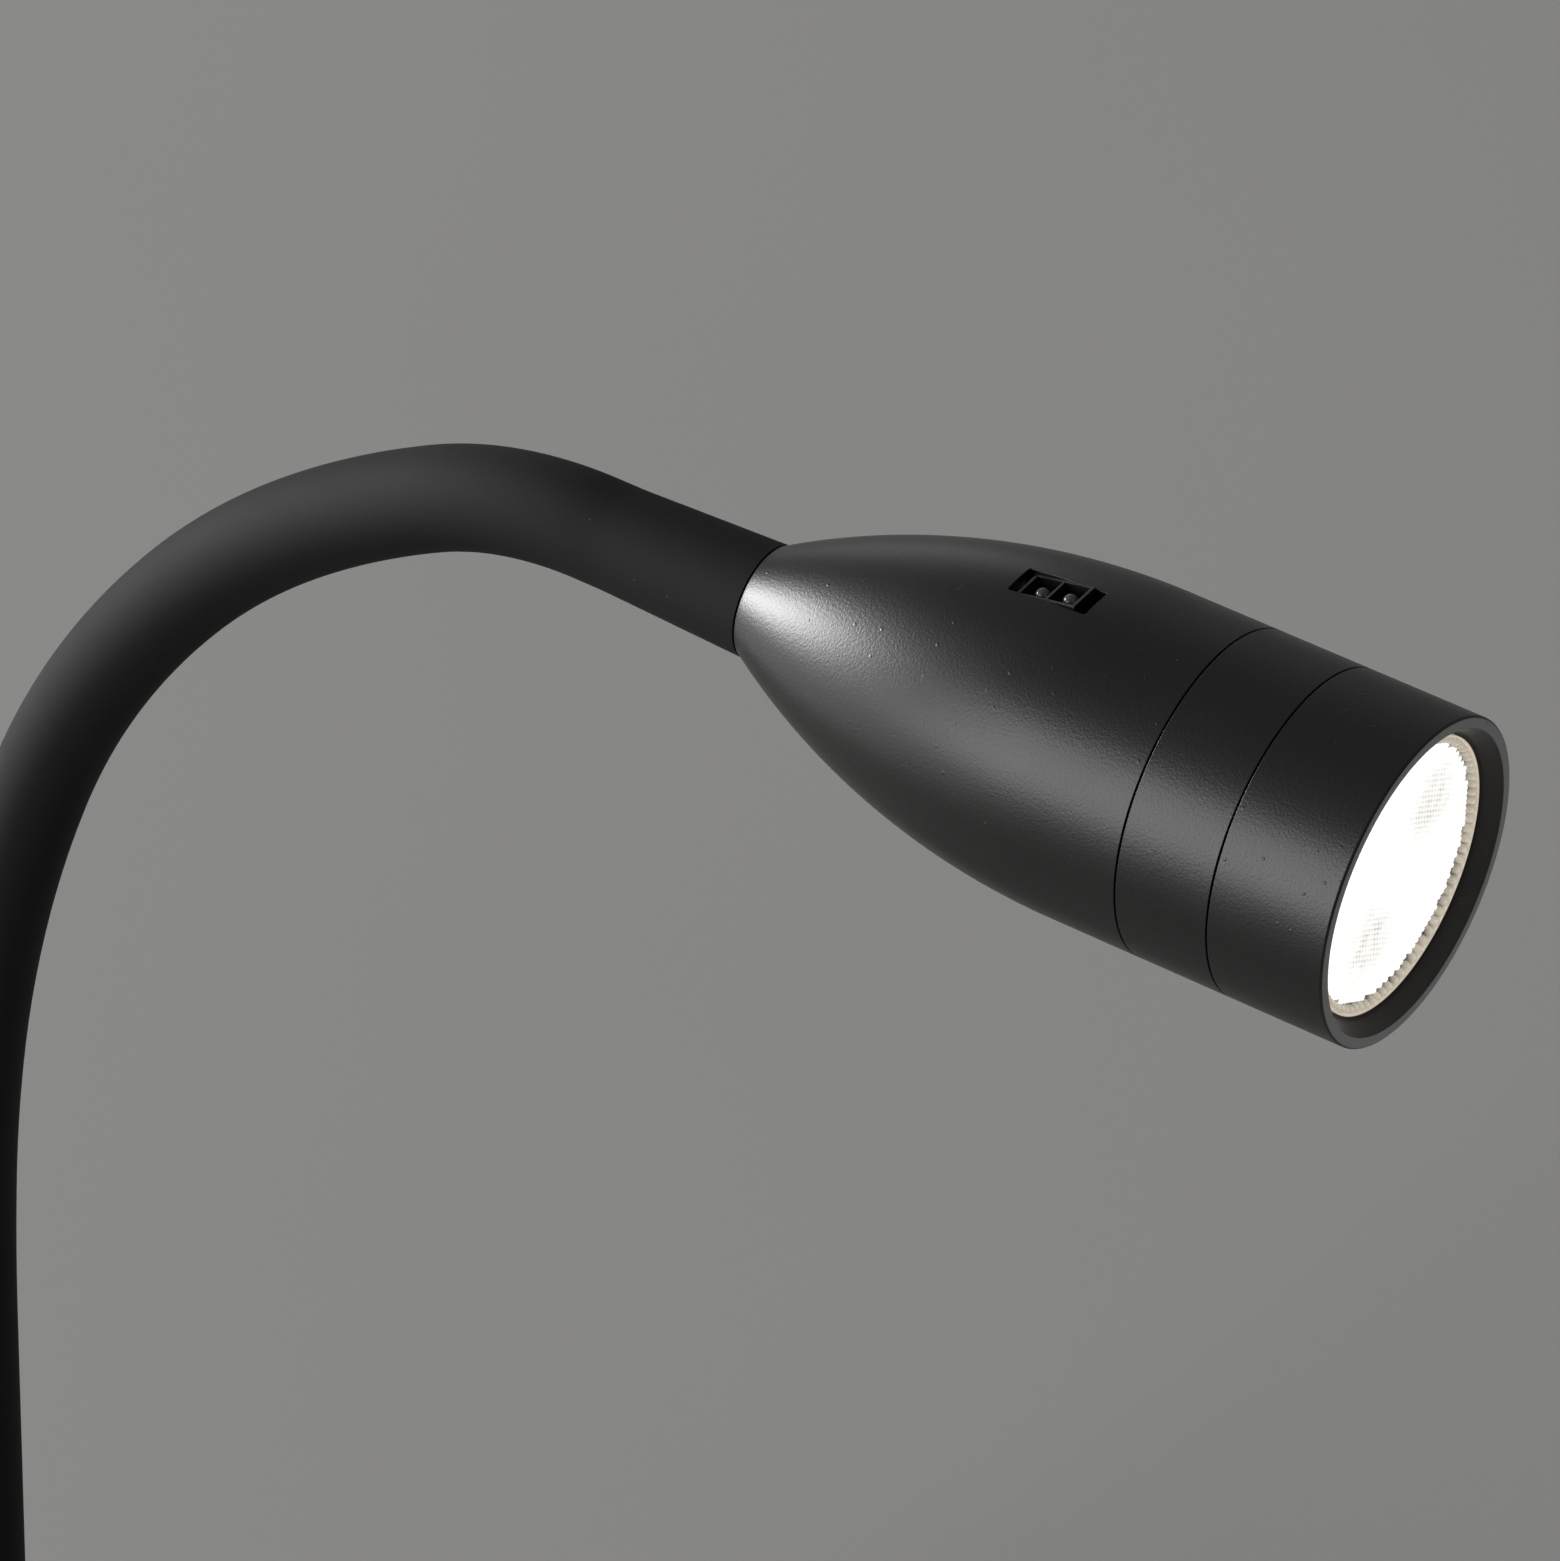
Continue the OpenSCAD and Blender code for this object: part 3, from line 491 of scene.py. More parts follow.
def mark(piece, name, values):
    """Stores a number at each corner of a piece, which its finish reads by that name."""
    layer = piece.data.attributes.new(name, "FLOAT", "POINT")
    layer.data.foreach_set("value", np.asarray(values, dtype=np.float32))


def put(piece, body, slot, finish, *stands_for):
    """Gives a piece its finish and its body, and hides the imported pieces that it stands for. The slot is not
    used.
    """
    piece.data.materials.clear()
    piece.data.materials.append(finish)
    piece.data.polygons.foreach_set("material_index", [0] * len(piece.data.polygons))
    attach(piece, body)
    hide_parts(*stands_for)
    print(piece.name, "on", body, "with", len(piece.data.polygons), "faces")


print("finishing helpers ready")

# %% [markdown]
# ### Front ring and middle ring
# The front ring holds the lens: a flat lip, a short cone inwards and a thin edge over the lens. The cone is
# marked for the duller paint. The middle ring has a spigot at each end that slides into its neighbours. A
# gap of 0.3 mm is left before each ring, which reads as a fine black line, as on the real head.

# %% Rings
mid_bore = mid_r.min()
spigot_r = mid_r[mid_s < mid_s.min() + NEAR].max()
mid_front, mid_back = (limit(mid_s[mid_r > head_r - NEAR]) for limit in (np.min, np.max))
lip_r = ring_r[ring_s < NEAR].min()
lens_hole_r = ring_r.min()
lens_front, lens_back, lens_edge_r = lens_s.min(), lens_s.max(), lens_r.max()
lens_lip = ring_s[ring_r < lens_hole_r + NEAR].min()
lens_seat_r = ring_r[np.abs(ring_s - lens_front) < NEAR].max()
socket_end = ring_s[(ring_r > socket_r - NEAR) & (ring_s < ring_back - NEAR) & (ring_s > lens_back)].min()

FINE, LIP_EDGE, EDGE = 0.1 * MM, 0.15 * MM, 0.4 * MM
LIP_SKIN = 0.03 * MM
front_ring = turned("front_ring_turned", eased([
    (lip_r, 0, LIP_EDGE), (head_r, 0, EDGE),
    (head_r, ring_back, FINE), (socket_r, ring_back, FINE),
    (socket_r, socket_end, 0), (lens_seat_r, socket_end, 0),
    (lens_seat_r, lens_front, 0), (lens_hole_r, lens_front, 0),
    (lens_hole_r, lens_lip, FINE),
]), in_head)
smooth(front_ring)
ring_depth, ring_out = section(front_ring)
mark(front_ring, "matt", (ring_depth > LIP_SKIN) & (ring_depth < lens_lip + FINE) & (ring_out < lip_r))
put(front_ring, "head", "black_paint", paint, "front_ring")

middle_ring = turned("middle_ring_turned", eased([
    (mid_bore, mid_s.min(), 0), (spigot_r, mid_s.min(), FINE),
    (spigot_r, mid_front, 0), (head_r, mid_front, FINE),
    (head_r, mid_back, FINE), (spigot_r, mid_back, 0),
    (spigot_r, mid_s.max(), FINE), (mid_bore, mid_s.max(), 0),
]), in_head)
smooth(middle_ring)
put(middle_ring, "head", "black_paint", paint, "middle_ring")

# %% [markdown]
# ### Shell
# The shell is a cylinder that runs into one long arc down to the neck, so its section is a rule and not a
# drawing: the arc's radius follows from its run and its drop. The wall is the same arc drawn in by 2 mm.

# %% Shell outline
ARC_STEPS, REAR_EDGE = 72, 0.25 * MM


def nose(depth, inset=0.0):
    """Radius of the head at a distance behind the mouth, drawn in by a wall."""
    past = max(0.0, depth - nose_start)
    return head_r - nose_r + math.sqrt((nose_r - inset) ** 2 - past**2)


inner_rear = shell_s[(shell_r < stud_hole_r + NEAR) & (shell_s > nose_start)].min()
outside = [(nose(s), s, 0) for s in np.linspace(nose_start, head_len, ARC_STEPS)[:-1]]
inside = [(nose(s, shell_wall), s, 0) for s in np.linspace(inner_rear, nose_start, ARC_STEPS)]
shell = turned("head_shell_turned", eased([
    (head_r, shell_front, FINE), *outside, (junction_r, head_len, REAR_EDGE),
    (stud_hole_r, head_len, FINE), (stud_hole_r, inner_rear, 0),
    *inside, (socket_r, shell_front, FINE),
]), in_head)
print("shell with", len(shell.data.polygons), "faces before the window is cut")

# %% [markdown]
# ### Sensor window
# The window is a slot through the top of the shell, with paint rounding its edge. The cutting tool is a
# stack of rounded rectangles. Near the surface they widen along a quarter circle that follows the curve of
# the shell, so the cut leaves an eased rim and no bevel has to be found on a curved edge afterwards.

# %% Cut the window
WINDOW_W, WINDOW_CORNER, WINDOW_EASE = 6.1 * MM, 0.35 * MM, 0.16 * MM
SIDE_STEPS, CORNER_STEPS = 12, 6
EASE_TURNS = np.radians((0, 20, 40, 60, 75))
TOOL_DEPTH = 2.5 * shell_wall
shell_corners = corners_of(cad["head_shell"])
on_window_side = np.abs(np.abs(shell_corners[:, 1]) - WINDOW_W / 2) < NEAR
on_window_side &= shell_corners[:, 2] > mouth.z + nose(head_len)
window_ends = shell_corners[on_window_side, 0].min(), shell_corners[on_window_side, 0].max()
window_x, window_l = sum(window_ends) / 2, window_ends[1] - window_ends[0]


def rounded_loop(half_a, half_b, radius, corner_steps=CORNER_STEPS, side_steps=SIDE_STEPS):
    """Points round a rectangle with rounded corners, with the same number on every loop."""
    arcs = []
    for quarter, (sign_a, sign_b) in enumerate(((1, 1), (-1, 1), (-1, -1), (1, -1))):
        middle = Vector((sign_a * (half_a - radius), sign_b * (half_b - radius)))
        turns = [math.pi / 2 * (quarter + k / corner_steps) for k in range(corner_steps + 1)]
        arcs.append([middle + radius * Vector((math.cos(t), math.sin(t))) for t in turns])
    points = []
    for arc, following in zip(arcs, arcs[1:] + arcs[:1]):
        points += arc
        points += [arc[-1].lerp(following[0], k / side_steps) for k in range(1, side_steps)]
    return points


def on_shell(x, y):
    """Height of the shell's top above a point."""
    return mouth.z + math.sqrt(nose(mouth.x - x) ** 2 - y**2)


def window_row(widen, rise, flat=None):
    """One loop of the cutting tool, at a rise over the shell or at one flat height."""
    loop = rounded_loop(window_l / 2 + widen, WINDOW_W / 2 + widen, WINDOW_CORNER + widen)
    return [(window_x + a, b, on_shell(window_x + a, b) + rise if flat is None else flat) for a, b in loop]


rows = [window_row(0, 0, flat=on_shell(window_x, 0) - TOOL_DEPTH)]
for turn in EASE_TURNS:
    rows.append(window_row(WINDOW_EASE * (1 - math.cos(turn)), WINDOW_EASE * (math.sin(turn) - 1)))
rows.append(window_row(WINDOW_EASE, shell_wall))
combine(shell, new_piece("window_tool", skin(rows, caps=True)), "DIFFERENCE")
print(f"window {window_l / MM:.2f} mm long cut {(mouth.x - window_x) / MM:.2f} mm behind the mouth")

# %% [markdown]
# ### Bosses under the shell
# Two hollow pillars carry the sensor board. They hang from the inside of the shell, and their screw holes
# stay open from below.

# %% Bosses
BOSS_R, BOSS_HOLE_R, HOLE_SPARE = 2.2 * MM, 1.1 * MM, 0.3 * MM
_, board_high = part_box("sensor_board")
screw_corners = corners_of(cad["board_screws"])
for half in (screw_corners[:, 0] < window_x, screw_corners[:, 0] >= window_x):
    screw_x = (screw_corners[half, 0].min() + screw_corners[half, 0].max()) / 2
    boss_top = on_shell(screw_x, 0) - shell_wall / 2
    hole_top = screw_corners[half, 2].max() + HOLE_SPARE
    boss_outline = [
        (BOSS_HOLE_R, board_high.z), (BOSS_R, board_high.z), (BOSS_R, boss_top), (0, boss_top),
        (0, hole_top), (BOSS_HOLE_R, hole_top),
    ]
    boss = turned("boss_tool", boss_outline, Matrix.Translation((screw_x, 0, 0)), turns=32)
    combine(shell, boss, "UNION")
smooth(shell)
put(shell, "head", "black_paint", paint, "head_shell")

# %% [markdown]
# ### Sensor
# Under the window sits a black plastic block with two open cells and a dome of dark resin in each. Its top
# slopes, so that its front end lies nearly flush with the shell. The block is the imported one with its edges
# eased. The domes are turned again, because a smooth highlight needs more faces.

# %% Sensor block and domes
def merged_copy(node):
    """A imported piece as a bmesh, with its loose triangles joined."""
    bm = bmesh.new()
    bm.from_mesh(cad[node].data)
    bmesh.ops.remove_doubles(bm, verts=bm.verts, dist=2 * SAME_PLACE)
    return bm


def recast(node, name, ease):
    """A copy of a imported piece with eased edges."""
    bm = merged_copy(node)
    bmesh.ops.dissolve_limit(bm, angle_limit=math.radians(1), verts=bm.verts, edges=bm.edges)
    piece = new_piece(name, bm)
    bevel = piece.modifiers.new("ease", "BEVEL")
    bevel.width = ease
    bevel.segments = 2
    bevel.limit_method = "ANGLE"
    plain_mesh(piece)
    smooth(piece)
    return piece


sensor_block = recast("sensor_body", "sensor_block", ease=0.08 * MM)
put(sensor_block, "head", "sensor_black", inner_finishes["sensor_black"], "sensor_body")

SENSOR_SLOPE = math.radians(12)
DOME_POINTS, DOME_TURNS = 13, 48
sensor_out = Vector((-math.sin(SENSOR_SLOPE), 0, math.cos(SENSOR_SLOPE)))
sensor_ahead = Vector((math.cos(SENSOR_SLOPE), 0, math.sin(SENSOR_SLOPE)))
eye_corners = corners_of(cad["sensor_eyes"])
eye_ahead, eye_out = eye_corners @ np.array(sensor_ahead), eye_corners @ np.array(sensor_out)
eyes_bm = bmesh.new()
for half in (eye_ahead < eye_ahead.mean(), eye_ahead >= eye_ahead.mean()):
    eye_r = np.ptp(eye_corners[half, 1]) / 2
    foot, top = eye_out[half].min(), eye_out[half].max()
    middle = (eye_ahead[half].min() + eye_ahead[half].max()) / 2
    axes = Matrix((sensor_ahead, (0, 1, 0), sensor_out)).transposed().to_4x4()
    rise = np.linspace(0, math.pi / 2, DOME_POINTS)
    dome = [(eye_r * math.cos(t), top - eye_r + eye_r * math.sin(t)) for t in rise]
    outline = [(0, foot), (eye_r, foot), *dome]
    eye = skin(circle_rows(outline, axes @ Matrix.Translation((middle, 0, 0)), DOME_TURNS))
    eye_mesh = bpy.data.meshes.new("eye")
    eye.to_mesh(eye_mesh)
    eyes_bm.from_mesh(eye_mesh)
    eye.free()
sensor_domes = new_piece("sensor_domes", eyes_bm)
smooth(sensor_domes)
put(sensor_domes, "head", "sensor_eye", inner_finishes["sensor_eye"], "sensor_eyes")

# %% [markdown]
# ## Things that repeat
# The lens has many hundreds of facets and a ring of beads, and the neck is a tube bent thirteen times.
# Geometry Nodes suit both: a tree holds the rule, its named inputs hold the sizes, and one change there
# changes every copy. Each result is turned into a plain mesh, because other programs can't read the tree.

# %% Helpers for Geometry Nodes
LENGTH, COUNT, THING, FINISH = (f"NodeSocket{kind}" for kind in ("Float", "Int", "Object", "Material"))


def new_rule(name, **kinds):
    """An empty Geometry Nodes tree with named inputs, and the sockets that they come in on."""
    tree = bpy.data.node_groups.new(name, "GeometryNodeTree")
    tree.interface.new_socket("Geometry", in_out="OUTPUT", socket_type="NodeSocketGeometry")
    for label, kind in kinds.items():
        tree.interface.new_socket(label, in_out="INPUT", socket_type=kind)
    return tree, tree.nodes.new("NodeGroupInput").outputs


def end_rule(tree, geometry, finish):
    """Ends a tree: real faces from every copy, in one finish."""
    real = add(tree, "GeometryNodeRealizeInstances", {0: geometry}).outputs[0]
    coated = add(tree, "GeometryNodeSetMaterial", {"Geometry": real, "Material": finish}).outputs[0]
    add(tree, "NodeGroupOutput", {0: coated})


def grown(name, tree, **sizes):
    """A plain mesh grown by a tree from these sizes."""
    piece = bpy.data.objects.new(name, bpy.data.meshes.new(name))
    scene.collection.objects.link(piece)
    modifier = piece.modifiers.new("rule", "NODES")
    modifier.node_group = tree
    for item in tree.interface.items_tree:
        if item.in_out == "INPUT":
            modifier[item.identifier] = sizes[item.name]
    return plain_mesh(piece)


def put_grown(piece, body, slot, *stands_for):
    """As put(), for a piece that a tree has already given its finish."""
    finish = next(material for material in piece.data.materials if material)
    put(piece, body, slot, finish, *stands_for)


print("rules ready")

# %% [markdown]
# ## Lit lens
# Behind the lip lies a moulded lens: a plain disc at the back, a field of small hexagonal facets in front
# that blends the light of the chip, and a ring of beads that stand half out of a low wall. Lit, it is so
# bright that only the creases between facets show, and the beads, which are thicker and dimmer. Each shape
# stores how deep its creases are, and the finish paints shade there: glow and colour darken in the creases,
# most of all in two fans fixed on the lens, and the beads darken from their tips back.

# %% Glowing finishes
LENS_PLANE_X = mouth.x - lens_front
# Middles of two fans fixed on the lens, where the painted crease shade is deepest.
FANS = ((9.8 * MM, 7.0 * MM), (-5.9 * MM, -8.9 * MM))
FAN_CORE, FAN_REACH = 2.5 * MM, 9.5 * MM


def glowing(name, bright, shade, strength, dimmest, in_fans):
    """Lit clear plastic with painted shade that darkens its glow and colour in its creases, everywhere or most of
    all in the fans.
    """
    material, tree, shader, where = new_finish(name)
    # Painted shade: the crease value, varied by a noise, darkens both the glow and the base colour.
    crease = add(tree, "ShaderNodeAttribute", attribute_name="crease").outputs["Fac"]
    flicker = stretch(tree, noise(tree, where, 420, detail=3.0), 0.55, 1.0, 0.35, 0.65)
    dim = sum_of(tree, "MULTIPLY", crease, flicker)
    if in_fans:
        fans = []
        for y, z in FANS:
            ends = {0: where, 1: (LENS_PLANE_X, y, mouth.z + z)}
            gap = add(tree, "ShaderNodeVectorMath", ends, operation="DISTANCE").outputs["Value"]
            fans.append(stretch(tree, gap, 0.9, 0.12, FAN_CORE, FAN_REACH))
        dim = sum_of(tree, "MULTIPLY", dim, sum_of(tree, "MAXIMUM", *fans))
    dim = sum_of(tree, "MULTIPLY", dim, dimmest)
    dress(tree, shader, Base_Color=mix(tree, dim, (0.60, 0.59, 0.57), (0.30, 0.28, 0.25)), Roughness=0.12)
    dress(tree, shader, Emission_Color=mix(tree, dim, bright, shade), Emission_Strength=strength)
    return material


lens_glow = glowing(
    "lit_lens", bright=(1.0, 0.985, 0.95), shade=(0.10, 0.09, 0.075),
    strength=0.95, dimmest=0.9, in_fans=True,
)
bead_glow = glowing(
    "lit_beads", bright=(0.72, 0.62, 0.47), shade=(0.04, 0.030, 0.021),
    strength=0.50, dimmest=1.0, in_fans=False,
)
print("made", lens_glow.name, "and", bead_glow.name)

# %% Disc of the lens
lens_disc = turned("lens_disc", eased([
    (0, lens_front, 0), (lens_edge_r, lens_front, FINE),
    (lens_edge_r, lens_back, FINE), (0, lens_back, 0),
]), in_head, loop=False)
smooth(lens_disc)
# The whole disc gets full painted crease shade, so it shows dark where it peeks between facets and beads.
mark(lens_disc, "crease", [1.0] * len(lens_disc.data.vertices))
put(lens_disc, "head", "lens_clear", bead_glow, "lens")

# %% Facets
FACET_PITCH, FACET_RISE, FACET_FOOT = 0.95 * MM, 0.3 * MM, 0.2 * MM
FACET_FIELD_R = 20.3 * MM


def facet_pattern():
    """One low hexagonal dome, closed below. Depth counts inwards, so its top has a negative one.

    Each point of its outline is a radius, a depth and the share of painted crease shade that it gets.
    """
    reach = FACET_PITCH / math.sqrt(3)
    outline = [
        (reach, FACET_FOOT, 1.0), (reach, 0, 1.0),
        (0.62 * reach, -0.72 * FACET_RISE, 0.3), (0, -FACET_RISE, 0),
    ]
    hexagon = [math.radians(60 * k + 30) for k in range(6)]
    bm = bmesh.new()
    crease = bm.verts.layers.float.new("crease")
    rings = []
    for radius, depth, share in outline:
        ring = []
        for angle in hexagon:
            vert = bm.verts.new((radius * math.cos(angle), radius * math.sin(angle), depth))
            vert[crease] = share
            ring.append(vert)
        rings.append(ring)
    for ring, following in zip(rings, rings[1:]):
        for k in range(6):
            bm.faces.new((ring[k - 1], ring[k], following[k], following[k - 1]))
    bm.faces.new(rings[0])
    bmesh.ops.remove_doubles(bm, verts=bm.verts, dist=SAME_PLACE)
    face_outwards(bm)
    return new_piece("facet_pattern", bm)


def facet_rule():
    """A field of facets in staggered rows, cut to a circle."""
    tree, size = new_rule("facet_field", Facet=THING, Pitch=LENGTH, Field=LENGTH, Rows=COUNT, Finish=FINISH)
    row_gap = sum_of(tree, "MULTIPLY", size["Pitch"], math.sqrt(3) / 2)
    spans = sum_of(tree, "SUBTRACT", size["Rows"], 1)
    grid = add(tree, "GeometryNodeMeshGrid", {
        "Size X": sum_of(tree, "MULTIPLY", spans, size["Pitch"]),
        "Size Y": sum_of(tree, "MULTIPLY", spans, row_gap),
        "Vertices X": size["Rows"], "Vertices Y": size["Rows"],
    }).outputs["Mesh"]
    row = sum_of(tree, "FLOORED_MODULO", add(tree, "GeometryNodeInputIndex").outputs[0], size["Rows"])
    odd = sum_of(tree, "FLOORED_MODULO", row, 2.0)
    aside = sum_of(tree, "MULTIPLY", odd, sum_of(tree, "MULTIPLY", size["Pitch"], 0.5))
    offset = add(tree, "ShaderNodeCombineXYZ", {"X": aside}).outputs[0]
    staggered = add(tree, "GeometryNodeSetPosition", {"Geometry": grid, "Offset": offset}).outputs[0]
    place = add(tree, "GeometryNodeInputPosition").outputs[0]
    reach = add(tree, "ShaderNodeVectorMath", {0: place}, operation="LENGTH").outputs["Value"]
    outside = add(tree, "FunctionNodeCompare", {"A": reach, "B": size["Field"]}, operation="GREATER_THAN")
    kept = add(tree, "GeometryNodeDeleteGeometry", {"Geometry": staggered, "Selection": outside.outputs[0]})
    facet = add(tree, "GeometryNodeObjectInfo", {"Object": size["Facet"]}).outputs["Geometry"]
    copies = add(tree, "GeometryNodeInstanceOnPoints", {"Points": kept.outputs[0], "Instance": facet})
    end_rule(tree, copies.outputs[0], size["Finish"])
    return tree


pattern = facet_pattern()
facet_rows = 2 * math.ceil(FACET_FIELD_R / (FACET_PITCH * math.sqrt(3) / 2)) + 3
facets = grown("lens_facets", facet_rule(), Facet=pattern, Pitch=FACET_PITCH, Field=FACET_FIELD_R,
               Rows=facet_rows, Finish=lens_glow)
bpy.data.objects.remove(pattern)
facets.data.transform(in_head @ Matrix.Translation((0, 0, lens_front)))
put_grown(facets, "head", "lens_clear", "lens")

# %% Beads round the lens
BEAD_COUNT, BEAD_R, BEAD_TALLNESS = 80, 0.75 * MM, 1.7
BEAD_STANDS_OUT = 0.72
RIM_WALL, RIM_RISE, RIM_PLAY = 0.3 * MM, 1.2 * MM, 0.05 * MM
rim_r = lens_hole_r - RIM_PLAY - RIM_WALL


def bead_rule():
    """A ring of beads, drawn out along the ring's axis."""
    tree, size = new_rule("bead_ring", Ring=LENGTH, Bead=LENGTH, Tallness=LENGTH, Beads=COUNT, Finish=FINISH)
    ring = add(tree, "GeometryNodeMeshCircle", {"Vertices": size["Beads"], "Radius": size["Ring"]}).outputs[0]
    form = {"Segments": 16, "Rings": 10, "Radius": size["Bead"]}
    ball = add(tree, "GeometryNodeMeshUVSphere", form).outputs[0]
    scale = add(tree, "ShaderNodeCombineXYZ", {"X": 1.0, "Y": 1.0, "Z": size["Tallness"]}).outputs[0]
    bead = add(tree, "GeometryNodeTransform", {"Geometry": ball, "Scale": scale}).outputs[0]
    place = add(tree, "GeometryNodeInputPosition").outputs[0]
    # Painted shade: each bead darkens from its front tip back to its middle.
    depth = add(tree, "ShaderNodeSeparateXYZ", {0: place}).outputs["Z"]
    front = sum_of(tree, "MULTIPLY", sum_of(tree, "MULTIPLY", size["Bead"], size["Tallness"]), -1.0)
    crease = {"Geometry": bead, "Name": "crease", "Value": stretch(tree, depth, 0.0, 1.0, front, 0.0)}
    marked = add(tree, "GeometryNodeStoreNamedAttribute", crease)
    copies = add(tree, "GeometryNodeInstanceOnPoints", {"Points": ring, "Instance": marked.outputs[0]})
    end_rule(tree, copies.outputs[0], size["Finish"])
    return tree


beads = grown("lens_beads", bead_rule(), Ring=rim_r - BEAD_STANDS_OUT * BEAD_R, Bead=BEAD_R,
              Tallness=BEAD_TALLNESS, Beads=BEAD_COUNT, Finish=bead_glow)
beads.data.transform(in_head @ Matrix.Translation((0, 0, lens_front)))
beads.data.shade_smooth()
put_grown(beads, "head", "lens_clear", "lens")

# %% Wall behind the beads
rim_top = lens_front - RIM_RISE
lens_rim = turned("lens_rim", eased([
    (rim_r, lens_front + FINE, 0), (rim_r + RIM_WALL, lens_front + FINE, 0),
    (rim_r + RIM_WALL, rim_top, FINE), (rim_r, rim_top, FINE),
]), in_head)
smooth(lens_rim)
# Painted shade on the wall behind the beads: bright along its top, darker towards its foot.
rim_depth, _ = section(lens_rim)
mark(lens_rim, "crease", np.clip((rim_depth - rim_top) / RIM_RISE, 0.0, 1.0))
put(lens_rim, "head", "lens_clear", bead_glow, "lens")

# %% [markdown]
# ## Flexible neck
# The neck is one silicone sleeve over a steel gooseneck. A tube that bends by a different amount in each
# length is a rule: follow an arc before the joint, another after it, and swell towards the head at the end.
# The sleeve is made in thirteen lengths, one over each flexing point. Each length takes its bend from the
# two links that it joins, so at rest the lengths meet as one tube.

# %% Rule for a bent tube
TINY_BEND = 0.001


def bent_tube_rule():
    """A tube with a bore that bends by one amount before a joint and by another after it."""
    tree, size = new_rule(
        "bent_tube", Before=LENGTH, After=LENGTH, Radius=LENGTH, Bore=LENGTH, Bend_Before=LENGTH,
        Bend_After=LENGTH, Flare=LENGTH, Flare_From=LENGTH, Rings=COUNT, Sides=COUNT, Finish=FINISH,
    )

    def calc(operation, *values, clamp=False):
        """A sum in this tree."""
        return sum_of(tree, operation, *values, clamp=clamp)

    rows = calc("MULTIPLY_ADD", size["Rings"], 2.0, 2.0)
    sheet = add(tree, "GeometryNodeMeshCylinder", {
        "Vertices": size["Sides"], "Side Segments": rows, "Radius": 1.0, "Depth": 1.0,
    }, fill_type="NONE").outputs["Mesh"]
    on_sheet = add(tree, "GeometryNodeInputPosition").outputs[0]
    place = add(tree, "ShaderNodeSeparateXYZ", {0: on_sheet}).outputs
    row = calc("ROUND", calc("MULTIPLY", calc("ADD", place["Z"], 0.5), rows))
    # The first rows run up the outside, the next ones come back down the bore, and the last one closes it.
    climbed = calc("MINIMUM", row, size["Rings"])
    returned = calc("SUBTRACT", calc("SUBTRACT", row, size["Rings"]), 1.0)
    returned = calc("MINIMUM", calc("MAXIMUM", returned, 0.0), size["Rings"])
    share = calc("DIVIDE", calc("SUBTRACT", climbed, returned), size["Rings"])
    past_top = calc("GREATER_THAN", row, calc("ADD", size["Rings"], 0.5))
    in_bore = calc("MULTIPLY", past_top, calc("LESS_THAN", row, calc("SUBTRACT", rows, 0.5)))
    whole_run = calc("ADD", size["Before"], size["After"])
    run = calc("SUBTRACT", calc("MULTIPLY", share, whole_run), size["Before"])
    ahead = calc("GREATER_THAN", run, 0.0)
    bend_change = calc("SUBTRACT", size["Bend_After"], size["Bend_Before"])
    bend = calc("MULTIPLY_ADD", ahead, bend_change, size["Bend_Before"])
    bend = calc("ADD", bend, TINY_BEND)
    turn = calc("MULTIPLY", run, bend)
    swell = calc("DIVIDE", calc("SUBTRACT", run, size["Flare_From"]),
                 calc("SUBTRACT", size["After"], size["Flare_From"]), clamp=True)
    outer = calc("MULTIPLY_ADD", swell, calc("SUBTRACT", size["Flare"], size["Radius"]), size["Radius"])
    radius = calc("MULTIPLY_ADD", in_bore, calc("SUBTRACT", size["Bore"], outer), outer)
    towards = calc("MULTIPLY", place["X"], radius)
    x = calc("DIVIDE", calc("SUBTRACT", 1.0, calc("COSINE", turn)), bend)
    z = calc("DIVIDE", calc("SINE", turn), bend)
    bent = add(tree, "ShaderNodeCombineXYZ", {
        "X": calc("MULTIPLY_ADD", towards, calc("COSINE", turn), x),
        "Y": calc("MULTIPLY", place["Y"], radius),
        "Z": calc("SUBTRACT", z, calc("MULTIPLY", towards, calc("SINE", turn))),
    }).outputs[0]
    tube = add(tree, "GeometryNodeSetPosition", {"Geometry": sheet, "Position": bent}).outputs[0]
    closed = add(tree, "GeometryNodeMergeByDistance", {"Geometry": tube, "Distance": SAME_PLACE}).outputs[0]
    end_rule(tree, closed, size["Finish"])
    return tree


bent_tube = bent_tube_rule()
print("rule with", len(bent_tube.nodes), "nodes")

# %% Place and bend of every flexing point
# How far each link bends at rest, from the base to the head, in degrees.
LINK_BENDS = [math.radians(b) for b in (0, 0, 0, 2.5, 5, 6, 6, 10, 9.5, 12, 10.5, 28.5)]
FLARE_FROM = 5 * MM
flex_points = [Vector(joint["pos_m"]) for joint in frame["joints"]]
flex_tilts = [sum(LINK_BENDS[:k]) for k in range(len(flex_points))]
link_len = (flex_points[1] - flex_points[0]).length
foot_low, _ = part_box("neck_sleeve_00")
foot_corners = corners_of(cad["neck_sleeve_00"])
_, collar_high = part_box("neck_collar")
_, flare_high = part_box("neck_sleeve_13")
sleeve_r = np.hypot(foot_corners[:, 0] - flex_points[0].x, foot_corners[:, 1]).max()
flare_r = section(cad["neck_sleeve_13"])[1].max()
curls = [0.0] + [bend / link_len for bend in LINK_BENDS] + [0.0]


def turn_outwards(piece):
    """Makes every face of a closed piece point outwards."""
    bm = bmesh.new()
    bm.from_mesh(piece.data)
    face_outwards(bm)
    bm.to_mesh(piece.data)
    bm.free()


